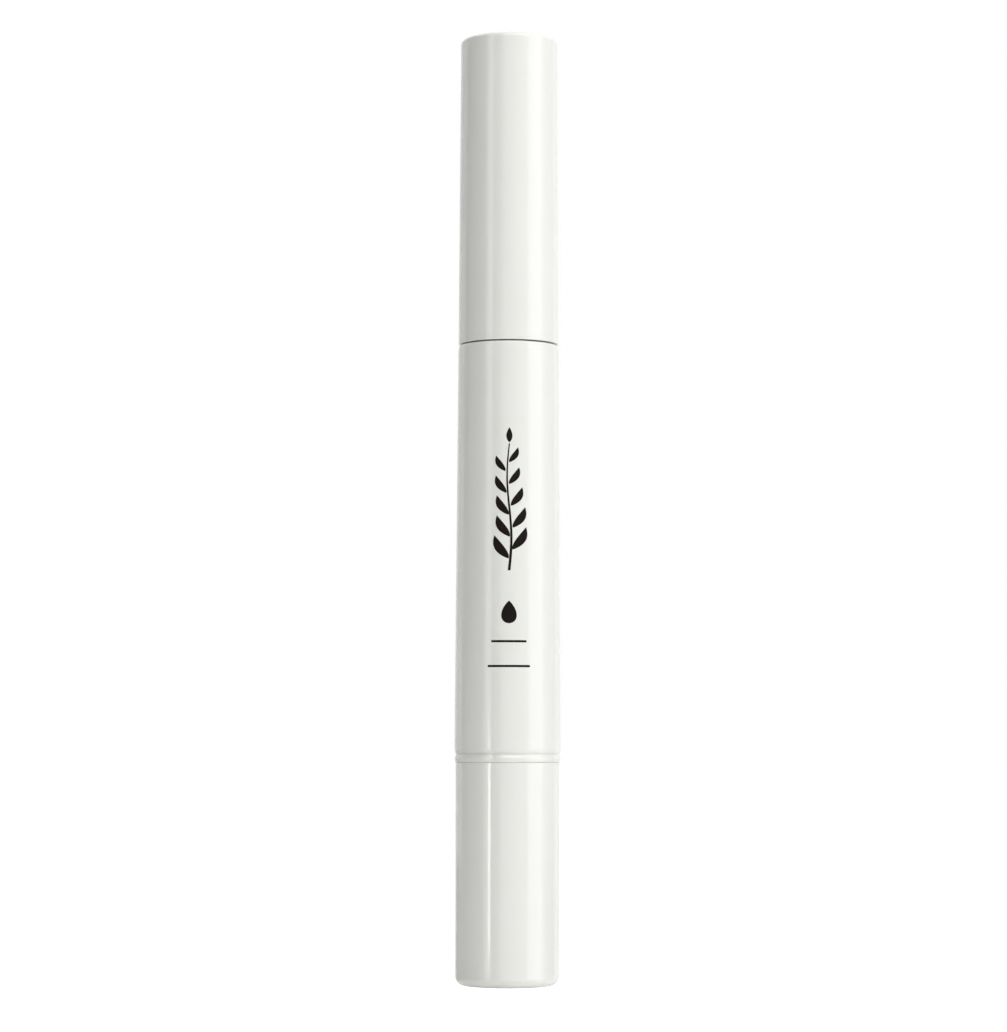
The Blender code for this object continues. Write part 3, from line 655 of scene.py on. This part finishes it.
def journal_radius() -> float:
    """Read the radius of the drive sleeve's plain top from the frame.

    Returns:
        The radius.
    """
    points = [point.co for point in bpy.data.objects["drive_sleeve"].data.vertices]
    journal_foot = max(point.z for point in points) - JOURNAL_LENGTH
    return max(point.xy.length for point in points if point.z > journal_foot)


class Station(NamedTuple):
    """A place along a printed stroke: its centre across and up, and its half width."""

    across: float
    up: float
    half_width: float


@dataclass(frozen=True)
class TaperedWall:
    """Outside of the barrel, which the print lies on."""

    foot_radius: float
    foot: float
    top: float
    taper: float

    def radius_at(self, height: float) -> float:
        """Give the barrel's outer radius at a height."""
        return self.foot_radius - self.taper * (height - self.foot) / (self.top - self.foot)


@dataclass
class Ornament:
    """Printed ornament: a leafy sprig over a drop and two plain rules."""

    offset: float = 0.15 * MM
    film: float = 0.012 * MM
    buried: float = 0.02 * MM
    cell: float = 0.3 * MM
    steps: int = 14
    sprig_foot: float = 60.4 * MM
    sprig_top: float = 81.3 * MM
    stem_sway: float = 0.32 * MM
    stem_foot_half: float = 0.2 * MM
    stem_tip_half: float = 0.09 * MM
    leaf_pairs: int = 5
    leaf_shift_share: float = 0.35
    leafy_share: float = 0.86
    left_rise_share: float = 0.02
    right_rise_share: float = 0.09
    leaf_length: float = 4.1 * MM
    leaf_tip_length: float = 2.2 * MM
    leaf_half: float = 0.84 * MM
    leaf_gap: float = 0.16 * MM
    leaf_lean_deg: float = 50.0
    leaf_curl_share: float = 0.35
    leaf_belly: float = 0.85
    leaf_fullness: float = 0.9
    drop_foot: float = 52.7 * MM
    drop_height: float = 3.3 * MM
    drop_half: float = 1.05 * MM
    drop_fullness: float = 0.8
    drop_swell_share: float = 1.35
    rule_half_width: float = 0.16 * MM
    rules: tuple[tuple[float, float], ...] = ((50.1 * MM, 2.6 * MM), (46.5 * MM, 3.15 * MM))

    def strokes(self) -> list[list[Station]]:
        """Draw every stroke in the plane of the unrolled barrel.

        Returns:
            Strokes as lists of stations.
        """
        drawn = [self.stem()]
        for pair in range(self.leaf_pairs):
            share = (pair + self.leaf_shift_share) / self.leaf_pairs * self.leafy_share
            drawn.append(self.leaf(share + self.left_rise_share, -1.0))
            drawn.append(self.leaf(share + self.right_rise_share, 1.0))
        drawn += [self.leaf(1.0, 0.0), self.drop()]
        for height, half_length in self.rules:
            ends = (height - self.rule_half_width, height + self.rule_half_width)
            drawn.append([Station(0.0, end, half_length) for end in ends])
        return drawn

    def stem_point(self, share: float) -> tuple[float, float]:
        """Place of the stem's centre at a share of its height.

        Args:
            share: 0 at the foot and 1 at the tip.

        Returns:
            Distance across and height.
        """
        stem_top = self.sprig_top - self.leaf_tip_length - self.leaf_gap
        height = self.sprig_foot + (stem_top - self.sprig_foot) * share
        return self.stem_sway * math.sin(math.tau * share), height

    def stem(self) -> list[Station]:
        """Draw the stem, thinner towards its tip.

        Returns:
            The stem's stations.
        """
        drawn = []
        for step in range(self.steps * 2 + 1):
            share = step / (self.steps * 2)
            half = self.stem_foot_half + (self.stem_tip_half - self.stem_foot_half) * share
            drawn.append(Station(*self.stem_point(share), half))
        return drawn

    def leaf(self, share: float, side: float) -> list[Station]:
        """Draw one pointed leaf.

        Args:
            share: Where it leaves the stem.
            side: -1 for the left, 1 for the right and 0 for the one at the tip.

        Returns:
            The leaf's stations from its foot to its point.
        """
        across, up = self.stem_point(share)
        lean = math.radians(self.leaf_lean_deg) * side
        length = self.leaf_length + (self.leaf_tip_length - self.leaf_length) * share
        half = self.leaf_half * length / self.leaf_length
        start = self.leaf_gap + self.stem_foot_half * abs(side)
        drawn = []
        for step in range(self.steps + 1):
            along = step / self.steps
            reach = start + length * along
            bend = lean * (1.0 - self.leaf_curl_share * along)
            inside = 0 < along < 1
            swell = math.sin(math.pi * along**self.leaf_belly) ** self.leaf_fullness if inside else 0.0
            half_width = max(half * swell, self.film / 2)
            drawn.append(Station(across + reach * math.sin(bend), up + reach * math.cos(bend), half_width))
        return drawn

    def drop(self) -> list[Station]:
        """Draw the drop, round below and pointed above.

        Returns:
            The drop's stations.
        """
        drawn = []
        widest = self.drop_half * self.drop_swell_share
        for step in range(self.steps + 1):
            angle = math.pi * step / self.steps
            half = widest * math.sin(angle) * math.cos(angle / 2) ** self.drop_fullness
            up = self.drop_foot + self.drop_height * (1 - math.cos(angle)) / 2
            drawn.append(Station(0.0, up, max(half, self.film / 2)))
        return drawn

    def build(self, wall: TaperedWall) -> Object:
        """Wrap the strokes round the barrel as thin closed films.

        Args:
            wall: The barrel's outside.

        Returns:
            The printed ornament as one piece.
        """
        builder = bmesh.new()
        for stroke in self.strokes():
            self.add_film(builder, stroke, wall)
        return finish_mesh("barrel_ornament", builder)

    def add_film(self, builder: BMesh, stroke: list[Station], wall: TaperedWall) -> None:
        """Add one stroke as a film with a top, an underside and edges.

        Args:
            builder: Collects the faces.
            stroke: The stroke's stations.
            wall: The barrel's outside.
        """
        widest = max(station.half_width for station in stroke)
        cells = max(1, math.ceil(2 * widest / self.cell))
        sides = ((-self.buried, range(cells + 1)), (self.film, range(cells, -1, -1)))
        rings = []
        for station in stroke:
            radius = wall.radius_at(station.up)
            ring = []
            for lift, columns in sides:
                for column in columns:
                    across = station.across + station.half_width * (2 * column / cells - 1)
                    angle = (across + self.offset) / radius - math.pi / 2
                    ring.append(builder.verts.new(polar_place(radius + lift, angle, station.up)))
            rings.append(ring)
        join_rings(builder, rings)
        for ring in (rings[0], rings[-1]):
            for column in range(cells):
                builder.faces.new((*ring[column : column + 2], ring[-2 - column], ring[-1 - column]))


@dataclass
class Barrel:
    """Outer barrel, the bushing whose collar shows under it, and the print."""

    wall: float = 0.82 * MM
    taper: float = 0.38 * MM
    edge_rounding: float = 0.28 * MM
    top_rise: float = 0.03 * MM
    top_bevel: float = 0.1 * MM
    top_bevel_height: float = 1.0 * MM
    foot_tuck: float = 0.11 * MM
    foot_tuck_height: float = 0.6 * MM
    foot_edge: float = 0.02 * MM
    lip: float = 1.0 * MM
    lip_clearance: float = 0.1 * MM
    collar_height: float = 1.255 * MM
    collar_proud: float = 0.04 * MM
    # Points of the collar's crown: how far under its top, and how far in from its crest
    collar_crown: tuple[tuple[float, float], ...] = (
        (1.05 * MM, 0.035 * MM),
        (0.8 * MM, 0.0),
        (0.55 * MM, 0.02 * MM),
        (0.25 * MM, 0.14 * MM),
    )
    collar_foot_tuck: float = 0.085 * MM
    collar_top_tuck: float = 0.14 * MM
    collar_softness: float = 1.2 * MM
    collar_drop: float = 3.58 * MM
    collar_edge: float = 0.02 * MM
    shell_seam: float = 0.02 * MM
    plug_wall: float = 0.8 * MM
    skirt_wall: float = 0.75 * MM
    skirt_bore_gap: float = 0.1 * MM
    snap_bead: float = 0.25 * MM
    snap_rise: float = 0.6 * MM
    snap_width: float = 0.8 * MM
    journal_gap: float = 0.15 * MM
    plug_edge: float = 0.2 * MM

    def build(self) -> None:
        """Build and dress the shell, the bushing and the ornament."""
        fit_piece(self.build_shell(), GLOSS_ABS, Body.BARREL, "barrel_shell")
        fit_piece(self.build_bushing(), GLOSS_ABS, Body.BARREL, "rear_bushing")
        wall = TaperedWall(*top_and_bottom("barrel_shell"), self.taper)
        fit_piece(Ornament().build(wall), PAD_PRINTED_INK, Body.BARREL)

    def build_shell(self) -> Object:
        """Turn the tapered shell with its inward lip.

        Returns:
            The shell.
        """
        foot_radius, _, cad_top = top_and_bottom("barrel_shell")
        top = cad_top + self.top_rise
        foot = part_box("rear_bushing")[1].z - self.collar_drop + self.shell_seam
        top_radius = foot_radius - self.taper
        bore = top_radius - self.wall
        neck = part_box("brush_seat")[1].x + self.lip_clearance
        edge = self.edge_rounding
        outline = [
            (bore, foot, edge / 2),
            (bore, top - self.lip),
            (neck, top - self.lip),
            (neck, top, edge / 2),
            (top_radius - self.top_bevel, top, edge),
            (top_radius, top - self.top_bevel_height, self.top_bevel_height * 4),
            (foot_radius, foot + self.foot_tuck_height, self.foot_tuck_height * 4),
            (foot_radius - self.foot_tuck, foot, self.foot_edge),
        ]
        return turned_piece("barrel_outer_shell", outline)

    def build_bushing(self) -> Object:
        """Turn the bushing: a crowned collar, a plug above it and a skirt below.

        Returns:
            The bushing.
        """
        collar, skirt_foot, plug_top = top_and_bottom("rear_bushing")
        crest = collar + self.collar_proud
        collar_top = plug_top - self.collar_drop
        collar_foot = collar_top - self.collar_height
        soft = self.collar_softness
        crown = [(crest - tuck, collar_top - below, soft) for below, tuck in self.collar_crown]
        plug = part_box("reservoir_tube")[1].x
        skirt_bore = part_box("ratchet_ring")[1].x + self.skirt_bore_gap
        skirt = skirt_bore + self.skirt_wall
        bead = skirt + self.snap_bead
        bead_foot = skirt_foot + self.snap_rise
        edge = self.plug_edge
        journal = journal_radius() + self.journal_gap
        outline = [
            (journal, plug_top, edge / 2),
            (journal, collar_foot),
            (skirt_bore, collar_foot),
            (skirt_bore, skirt_foot, edge / 2),
            (skirt, skirt_foot, edge),
            (skirt, bead_foot),
            (bead, bead_foot + self.snap_bead, edge / 2),
            (bead, bead_foot + self.snap_width, edge / 4),
            (skirt, bead_foot + self.snap_width),
            (skirt, collar_foot),
            (crest - self.collar_foot_tuck, collar_foot, self.collar_edge),
            *crown,
            (crest - self.collar_top_tuck, collar_top, self.collar_edge),
            (plug, collar_top),
            (plug, plug_top, edge),
            (plug - self.plug_wall, plug_top, edge / 2),
            (plug - self.plug_wall, collar_top),
            (journal + self.plug_wall, collar_top),
            (journal + self.plug_wall, plug_top, edge / 2),
        ]
        return turned_piece("collar_bushing", outline)


@dataclass
class BrushHead:
    """Neck of the oil tube, its seals, the brush seat and the brush itself."""

    seat_gap: float = 0.1 * MM
    tube_wall: float = 0.65 * MM
    neck_wall: float = 1.2 * MM
    ring_softness: float = 0.47
    seal_softness: float = 0.25
    shoulder_drop: float = 8.5 * MM
    shoulder_floor: float = 1.4 * MM
    soft_edge: float = 0.2 * MM
    flange: float = 0.8 * MM
    plug_wall: float = 1.1 * MM
    nose_radius: float = 2.9 * MM
    nose_softness: float = 2.4 * MM
    nose_edge: float = 0.28 * MM
    cone_length: float = 9.0 * MM
    socket_wall: float = 0.7 * MM
    socket_depth: float = 4.8 * MM
    hollow_rise: float = 1.0 * MM
    feed_wall: float = 0.3 * MM
    feed_softness: float = 1 / 3
    cup_wall: float = 0.3 * MM
    cup_floor: float = 0.8 * MM

    def build(self) -> None:
        """Build and dress every piece from the oil tube to the bristles."""
        for piece, finish, node in (
            (self.build_tube(), NATURAL_POLYPROPYLENE, "reservoir_tube"),
            (self.build_neck_ring(), SILICONE_RUBBER, "neck_ring"),
            (self.build_gasket(), SILICONE_RUBBER, "seat_seal"),
            (self.build_seat(), NATURAL_POLYPROPYLENE, "brush_seat"),
            (self.build_feed_tube(), NATURAL_POLYPROPYLENE, "feed_tube"),
            (self.build_cup(), WHITE_POLYETHYLENE, "brush_ring"),
            (Bristles().build(), DRAWN_NYLON, "bristle_tuft"),
        ):
            fit_piece(piece, finish, Body.BARREL, node)

    def build_tube(self) -> Object:
        """Turn the oil tube with its shoulder, neck and ring groove.

        Returns:
            The tube.
        """
        outer, foot, top = top_and_bottom("reservoir_tube")
        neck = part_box("brush_seat")[1].x
        ring_radius, ring_low, ring_high = top_and_bottom("neck_ring")
        groove_low, groove_high = ring_low - self.seat_gap, ring_high + self.seat_gap
        groove = ring_radius - (ring_high - ring_low) - self.seat_gap
        shoulder = top - self.shoulder_drop
        edge = self.soft_edge
        outline = [
            (outer - self.tube_wall, foot, edge / 2),
            (outer, foot, edge),
            (outer, shoulder, edge),
            (neck, shoulder, edge / 2),
            (neck, groove_low, edge / 3),
            (groove, groove_low, edge / 3),
            (groove, groove_high, edge / 3),
            (neck, groove_high, edge / 3),
            (neck, top, edge),
            (neck - self.neck_wall, top, edge / 2),
            (neck - self.neck_wall, shoulder - self.shoulder_floor, edge),
            (outer - self.tube_wall, shoulder - self.shoulder_floor, edge * 2),
        ]
        return turned_piece("oil_tube", outline, SMALL_FACETS)

    def build_neck_ring(self) -> Object:
        """Turn the round rubber ring that the cap's sleeve grips."""
        _, bottom, top = top_and_bottom("neck_ring")
        return plain_ring("neck_grip_ring", "neck_ring", top - bottom, self.ring_softness)

    def build_gasket(self) -> Object:
        """Turn the flat gasket under the brush seat's flange."""
        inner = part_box("brush_seat")[1].x - self.neck_wall
        return plain_ring("seat_gasket", "seat_seal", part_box("seat_seal")[1].x - inner, self.seal_softness)

    def build_feed_tube(self) -> Object:
        """Turn the fine tube that brings oil to the bristles."""
        return plain_ring("oil_feed_tube", "feed_tube", self.feed_wall, self.feed_softness)

    def build_seat(self) -> Object:
        """Turn the plug and the tapering nose that holds the brush.

        Returns:
            The seat with its nose.
        """
        flange_radius, bottom, top = top_and_bottom("brush_seat")
        plug = flange_radius - self.neck_wall - self.seat_gap
        flange_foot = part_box("seat_seal")[1].z + self.seat_gap
        flange_top = flange_foot + self.flange
        hollow = flange_top + self.hollow_rise
        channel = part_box("feed_tube")[1].x + self.seat_gap
        socket = self.nose_radius - self.socket_wall
        socket_floor = top - self.socket_depth
        edge = self.soft_edge
        outline = [
            (plug - self.plug_wall, bottom, edge / 2),
            (plug, bottom, edge),
            (plug, flange_foot),
            (flange_radius, flange_foot, edge / 2),
            (flange_radius, flange_top, edge),
            (plug, flange_top, edge * 2),
            (self.nose_radius, flange_top + self.cone_length, self.nose_softness),
            (self.nose_radius, top, self.nose_edge),
            (socket, top, edge),
            (socket, socket_floor),
            (channel, socket_floor),
            (channel, hollow + self.plug_wall, edge),
            (plug - self.plug_wall, hollow, edge * 2),
        ]
        return turned_piece("brush_nose", outline, SMALL_FACETS)

    def build_cup(self) -> Object:
        """Turn the cup that binds the bristle roots.

        Returns:
            The cup.
        """
        outer, bottom, top = top_and_bottom("brush_ring")
        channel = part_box("feed_tube")[1].x + self.seat_gap
        edge = self.cup_wall / 4
        outline = [
            (channel, bottom, edge),
            (outer, bottom, edge * 2),
            (outer, top, edge),
            (outer - self.cup_wall, top, edge),
            (outer - self.cup_wall, bottom + self.cup_floor, edge),
            (channel, bottom + self.cup_floor, edge),
        ]
        return turned_piece("bristle_cup", outline, SMALL_FACETS)


@dataclass
class Bristles:
    """Tuft of drawn filaments, bound at the root and drawn to a soft point."""

    count: int = 460
    seed: int = 11
    sides: int = 5
    steps: int = 12
    root_half: float = 0.055 * MM
    tip_half: float = 0.016 * MM
    root_inset: float = 0.42 * MM
    feed_clearance: float = 0.16 * MM
    length_spread: float = 0.7 * MM
    stray: float = 0.1 * MM
    twist: float = 0.03
    swell: float = 0.34 * MM
    swell_share: float = 0.7
    swell_sharpness: float = 1.5
    gather_sharpness: float = 2.2
    tip_radius: float = 0.62 * MM
    tip_core_share: float = 0.12

    def build(self) -> Object:
        """Plant the filaments in rings that spiral out from the feed tube.

        Returns:
            The tuft as one piece.
        """
        rand = random.Random(self.seed)
        root_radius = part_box("brush_ring")[1].x - self.root_inset
        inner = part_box("feed_tube")[1].x + self.feed_clearance
        _, root, tip = top_and_bottom("bristle_tuft")
        nose_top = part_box("brush_seat")[1].z
        builder = bmesh.new()
        golden = math.pi * (3 - math.sqrt(5))
        for index in range(self.count):
            share = (index + 0.5) / self.count
            radius = math.sqrt(inner**2 + (root_radius**2 - inner**2) * share)
            angle = golden * index
            drawn = (radius - inner) / (root_radius - inner)
            length_loss = self.length_spread * drawn**2 + rand.uniform(0, self.stray) * 2
            lean = rand.gauss(0, self.stray / 2)
            twist = rand.gauss(0, self.twist)
            path = []
            for step in range(self.steps + 1):
                height = root + (tip - length_loss - root) * (step / self.steps)
                free = max(0.0, (height - nose_top) / (tip - nose_top))
                reach = self.envelope(drawn, radius, free) + lean * free**2
                path.append((reach, angle + twist * free, height))
            self.add_filament(builder, path)
        return finish_mesh("brush_filaments", builder)

    def envelope(self, drawn: float, root_radius: float, free: float) -> float:
        """Distance of a filament from the axis at a share of its free length.

        Args:
            drawn: 0 for a filament beside the feed tube, 1 for an outermost one.
            root_radius: Its distance from the axis where it is bound.
            free: Share of the free length.

        Returns:
            The distance from the axis.
        """
        rise = math.sin(math.pi * min(free / self.swell_share, 1.0))
        bulge = self.swell * drawn * rise**self.swell_sharpness
        gather = free**self.gather_sharpness
        tip_place = self.tip_radius * (self.tip_core_share + (1 - self.tip_core_share) * drawn)
        return (root_radius + bulge) * (1 - gather) + tip_place * gather

    def add_filament(self, builder: BMesh, path: list[tuple[float, float, float]]) -> None:
        """Add one tapering filament along its path.

        Args:
            builder: Collects the faces.
            path: Distance from the axis, angle and height of its stations.
        """
        rings = []
        for step, (reach, angle, height) in enumerate(path):
            share = step / (len(path) - 1)
            half = self.root_half + (self.tip_half - self.root_half) * share**3
            x, y, z = polar_place(reach, angle, height)
            ring = []
            for side in range(self.sides):
                aside, away, _ = polar_place(half, math.tau * side / self.sides, height)
                ring.append(builder.verts.new((x + aside, y + away, z)))
            rings.append(ring)
        join_rings(builder, rings)
        builder.faces.new(rings[0])
        builder.faces.new(rings[-1])


@dataclass(frozen=True)
class Drive:
    """Inner works that stay as the CAD shapes them, each in its own finish."""

    finishes: tuple[tuple[str, Finish], ...] = (
        ("lead_screw", WHITE_ACETAL),
        ("pawl_ring", WHITE_ACETAL),
        ("thread_nut", GREY_ACETAL),
        ("drive_sleeve", GREY_ACETAL),
        ("ratchet_ring", GREY_ACETAL),
        ("piston", WHITE_POLYETHYLENE),
        ("piston_ring_rear", SILICONE_RUBBER),
        ("piston_ring_front", SILICONE_RUBBER),
    )

    def build(self, nodes: dict[str, Object]) -> None:
        """Dress the carried-over CAD nodes.

        Args:
            nodes: The frame's CAD nodes by name.
        """
        for name, finish in self.finishes:
            for slot in nodes[name].material_slots:
                slot.material = material_of(finish)
            LOG.info("%s is finished in %s", name, finish.name)


def standing_place(azimuth_deg: float, distance: float, height: float) -> Vector:
    """Place round the pen's axis, at an angle from the camera's side to the right."""
    angle = math.radians(azimuth_deg)
    return Vector((distance * math.sin(angle), -distance * math.cos(angle), height))


class Reach(Enum):
    """What a lamp gives the pen."""

    BOTH = "light and reflection"
    LIGHT = "light alone"
    REFLECTION = "reflection alone"


@dataclass(frozen=True)
class Softbox:
    """A soft lamp round the pen, by its azimuth from the camera's side to the right.

    Its elevation raises it from level to straight above. A radiance of 1 is the
    white of the surround.
    """

    name: str
    azimuth_deg: float
    spread_deg: float
    radiance: float
    reach: Reach = Reach.BOTH
    distance: float = 0.62
    foot: float = -0.16
    top: float = 0.7
    elevation_deg: float = 0.0
    colour: str = "#FFFFFF"

    def build(self) -> None:
        """Add the lamp, aimed at the pen's axis."""
        lamp = bpy.data.lights.new(self.name, "AREA")
        lamp.color = linear_colour(self.colour)[:3]
        lamp.shape = "RECTANGLE"
        lamp.size = 2 * self.distance * math.tan(math.radians(self.spread_deg) / 2)
        lamp.size_y = self.top - self.foot
        lamp.energy = math.pi * lamp.size * lamp.size_y * self.radiance
        rise = math.radians(self.elevation_deg)
        height = (self.top + self.foot) / 2 + self.distance * math.sin(rise)
        stand = new_object(self.name, lamp)
        stand.location = standing_place(self.azimuth_deg, self.distance * math.cos(rise), height)
        stand.rotation_euler = Euler((math.pi / 2 - rise, 0.0, math.radians(self.azimuth_deg)))
        stand.visible_glossy = self.reach is not Reach.LIGHT
        stand.visible_diffuse = self.reach is not Reach.REFLECTION


def lay_sheet(name: str, corners: Sequence[Vector], paper: Material) -> Object:
    """Lay a flat sheet of the studio's paper, which is no part of the pen.

    Args:
        name: The sheet's name.
        corners: Its four corners in order.
        paper: Its material.

    Returns:
        The sheet.
    """
    mesh = bpy.data.meshes.new(name)
    mesh.from_pydata(corners, [], [(0, 1, 2, 3)])
    mesh.materials.append(paper)
    sheet = new_object(name, mesh)
    return sheet


class CardTone(Enum):
    """Papers of the studio's cards."""

    BLACK = "#1E1E20"
    GREY = "#8E8F91"
    PALE = "#D6D7D9"
    WHITE = "#F2F2F2"


@dataclass(frozen=True)
class Card:
    """A paper card out of the camera's sight, which shapes the pen's dark edges."""

    name: str
    azimuth_deg: float
    spread_deg: float
    tone: CardTone
    distance: float = 0.46
    foot: float = -0.16
    top: float = 0.7

    def build(self) -> None:
        """Add the card, facing the pen."""
        angle = math.radians(self.azimuth_deg)
        half = self.distance * math.tan(math.radians(self.spread_deg) / 2)
        aside = Vector((math.cos(angle), math.sin(angle), 0.0)) * half
        low = standing_place(self.azimuth_deg, self.distance, self.foot)
        high = standing_place(self.azimuth_deg, self.distance, self.top)
        corners = [low - aside, low + aside, high + aside, high - aside]
        lay_sheet(self.name, corners, self.paper()).visible_camera = False

    def paper(self) -> Material:
        """Make the card's plain paper.

        Returns:
            The paper.
        """
        material, tree, surface = blank_material(f"paper_{self.tone.name.lower()}")
        paper = add_node(tree, "BsdfDiffuse", {"Color": linear_colour(self.tone.value)})
        tree.links.new(paper.outputs["BSDF"], surface)
        return material


def split_by_sight(tree: NodeTree, unseen: Node, seen: Node) -> NodeSocket:
    """Tell rays that see the backdrop from rays that only carry its light.

    Args:
        tree: The node tree of both nodes.
        unseen: What gives the light.
        seen: What camera, glossy and transmission rays see.

    Returns:
        The socket that gives each ray its own.
    """
    rays = add_node(tree, "LightPath").outputs
    sight = rays["Is Camera Ray"]
    for ray in ("Is Glossy Ray", "Is Transmission Ray"):
        either = add_node(tree, "Math", {"operation": "MAXIMUM"}, {0: sight, 1: rays[ray]})
        sight = either.outputs["Value"]
    sides = {"Fac": sight, 1: unseen.outputs[0], 2: seen.outputs[0]}
    return add_node(tree, "MixShader", links=sides).outputs["Shader"]


@dataclass
class Studio:
    """White studio: a pale floor, a white surround, seven soft lamps and four cards."""

    ambient: float = 0.358
    surround: str = "#FFFFFF"
    floor_half: float = 4.0
    floor_paper: str = "#FAFAFA"
    floor_lift: float = 0.9
    lamps: tuple[Softbox, ...] = (
        Softbox("key_softbox", 63.8, 36.5, 1.61, colour="#FAFAFF"),
        Softbox("side_fill", 67.0, 41.0, 0.42, Reach.LIGHT, distance=0.8, foot=0.0, top=0.5),
        Softbox("strip_softbox", -43.0, 11.0, 0.9),
        Softbox("low_strip_softbox", -40.2, 5.6, 6.0, foot=-0.04, top=0.042),
        Softbox("high_front_fill", 16.0, 80.0, 2.5, Reach.LIGHT, distance=0.75, foot=0.46, top=0.82),
        Softbox("high_front_softbox", 0.0, 88.0, 4.0, Reach.REFLECTION, distance=0.75, foot=0.46, top=0.82),
        Softbox("top_softbox", 0.0, 36.8699, 2.45, Reach.LIGHT, 0.75, -0.25, 0.25, elevation_deg=90.0),
    )
    cards: tuple[Card, ...] = (
        Card("black_flag", -86.0, 64.0, CardTone.BLACK),
        Card("grey_camera_card", -26.0, 20.0, CardTone.GREY),
        Card("white_near_card", -135.0, 30.0, CardTone.WHITE),
        Card("pale_far_card", 110.0, 32.0, CardTone.PALE),
    )

    def build(self) -> None:
        """Set up the whole studio."""
        bpy.context.scene.view_settings.view_transform = "Standard"
        self.build_surround()
        self.build_floor()
        for prop in (*self.lamps, *self.cards):
            prop.build()

    def build_surround(self) -> None:
        """Make the world: white where it is seen, softer where it only lights."""
        world = bpy.data.worlds.new("white_surround")
        world.use_nodes = True
        tree = world.node_tree
        tree.nodes.clear()
        sides = []
        for strength in (self.ambient, 1.0):
            settings = {"Color": linear_colour(self.surround), "Strength": strength}
            sides.append(add_node(tree, "Background", settings))
        add_node(tree, "OutputWorld", links={"Surface": split_by_sight(tree, *sides)})
        bpy.context.scene.world = world

    def build_floor(self) -> None:
        """Lay the floor: pale paper that keeps the pen's shadow."""
        half = self.floor_half
        corners = [Vector((x * half, y * half, 0.0)) for x, y in ((-1, -1), (1, -1), (1, 1), (-1, 1))]
        lay_sheet("floor", corners, self.floor_material()).visible_glossy = False

    def floor_material(self) -> Material:
        """Make the floor's paper, lifted to white where it is seen.

        Returns:
            The floor's material.
        """
        material, tree, surface = blank_material("paper_floor")
        paper = add_node(tree, "BsdfDiffuse", {"Color": linear_colour(self.floor_paper)})
        glows = [add_node(tree, "Emission", {"Strength": lift}) for lift in (0.0, self.floor_lift)]
        layers = {0: paper.outputs["BSDF"], 1: split_by_sight(tree, *glows)}
        both = add_node(tree, "AddShader", links=layers)
        tree.links.new(both.outputs["Shader"], surface)
        return material


@dataclass(frozen=True)
class Viewpoint:
    """The photograph's camera: a long lens level with the knob's top, tilted up."""

    place: Vector = Vector((-0.35 * MM, -457.4 * MM, 36.1 * MM))
    pitch: float = 0.0715
    yaw: float = 0.00074
    roll: float = 0.0025
    lens_mm: float = 108.07
    sensor_mm: float = 36.0
    nearest: float = 0.01
    farthest: float = 50.0

    def build(self) -> None:
        """Add the camera and look through it."""
        optics = bpy.data.cameras.new("camera")
        optics.lens = self.lens_mm
        optics.sensor_width = self.sensor_mm
        optics.clip_start = self.nearest
        optics.clip_end = self.farthest
        camera = new_object("camera", optics)
        camera.location = self.place
        turn = Euler((math.pi / 2 + self.pitch, 0.0, self.yaw)).to_matrix()
        camera.rotation_euler = (turn @ Euler((0.0, 0.0, self.roll)).to_matrix()).to_euler()
        bpy.context.scene.camera = camera


def main() -> None:
    """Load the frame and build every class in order."""
    logging.basicConfig(level=logging.INFO, format="%(name)s: %(message)s")
    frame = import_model()
    Viewpoint().build()
    Barrel().build()
    Knob().build()
    Cap().build()
    BrushHead().build()
    Drive().build(frame["nodes"])
    Studio().build()


if __name__ == "__main__":
    main()
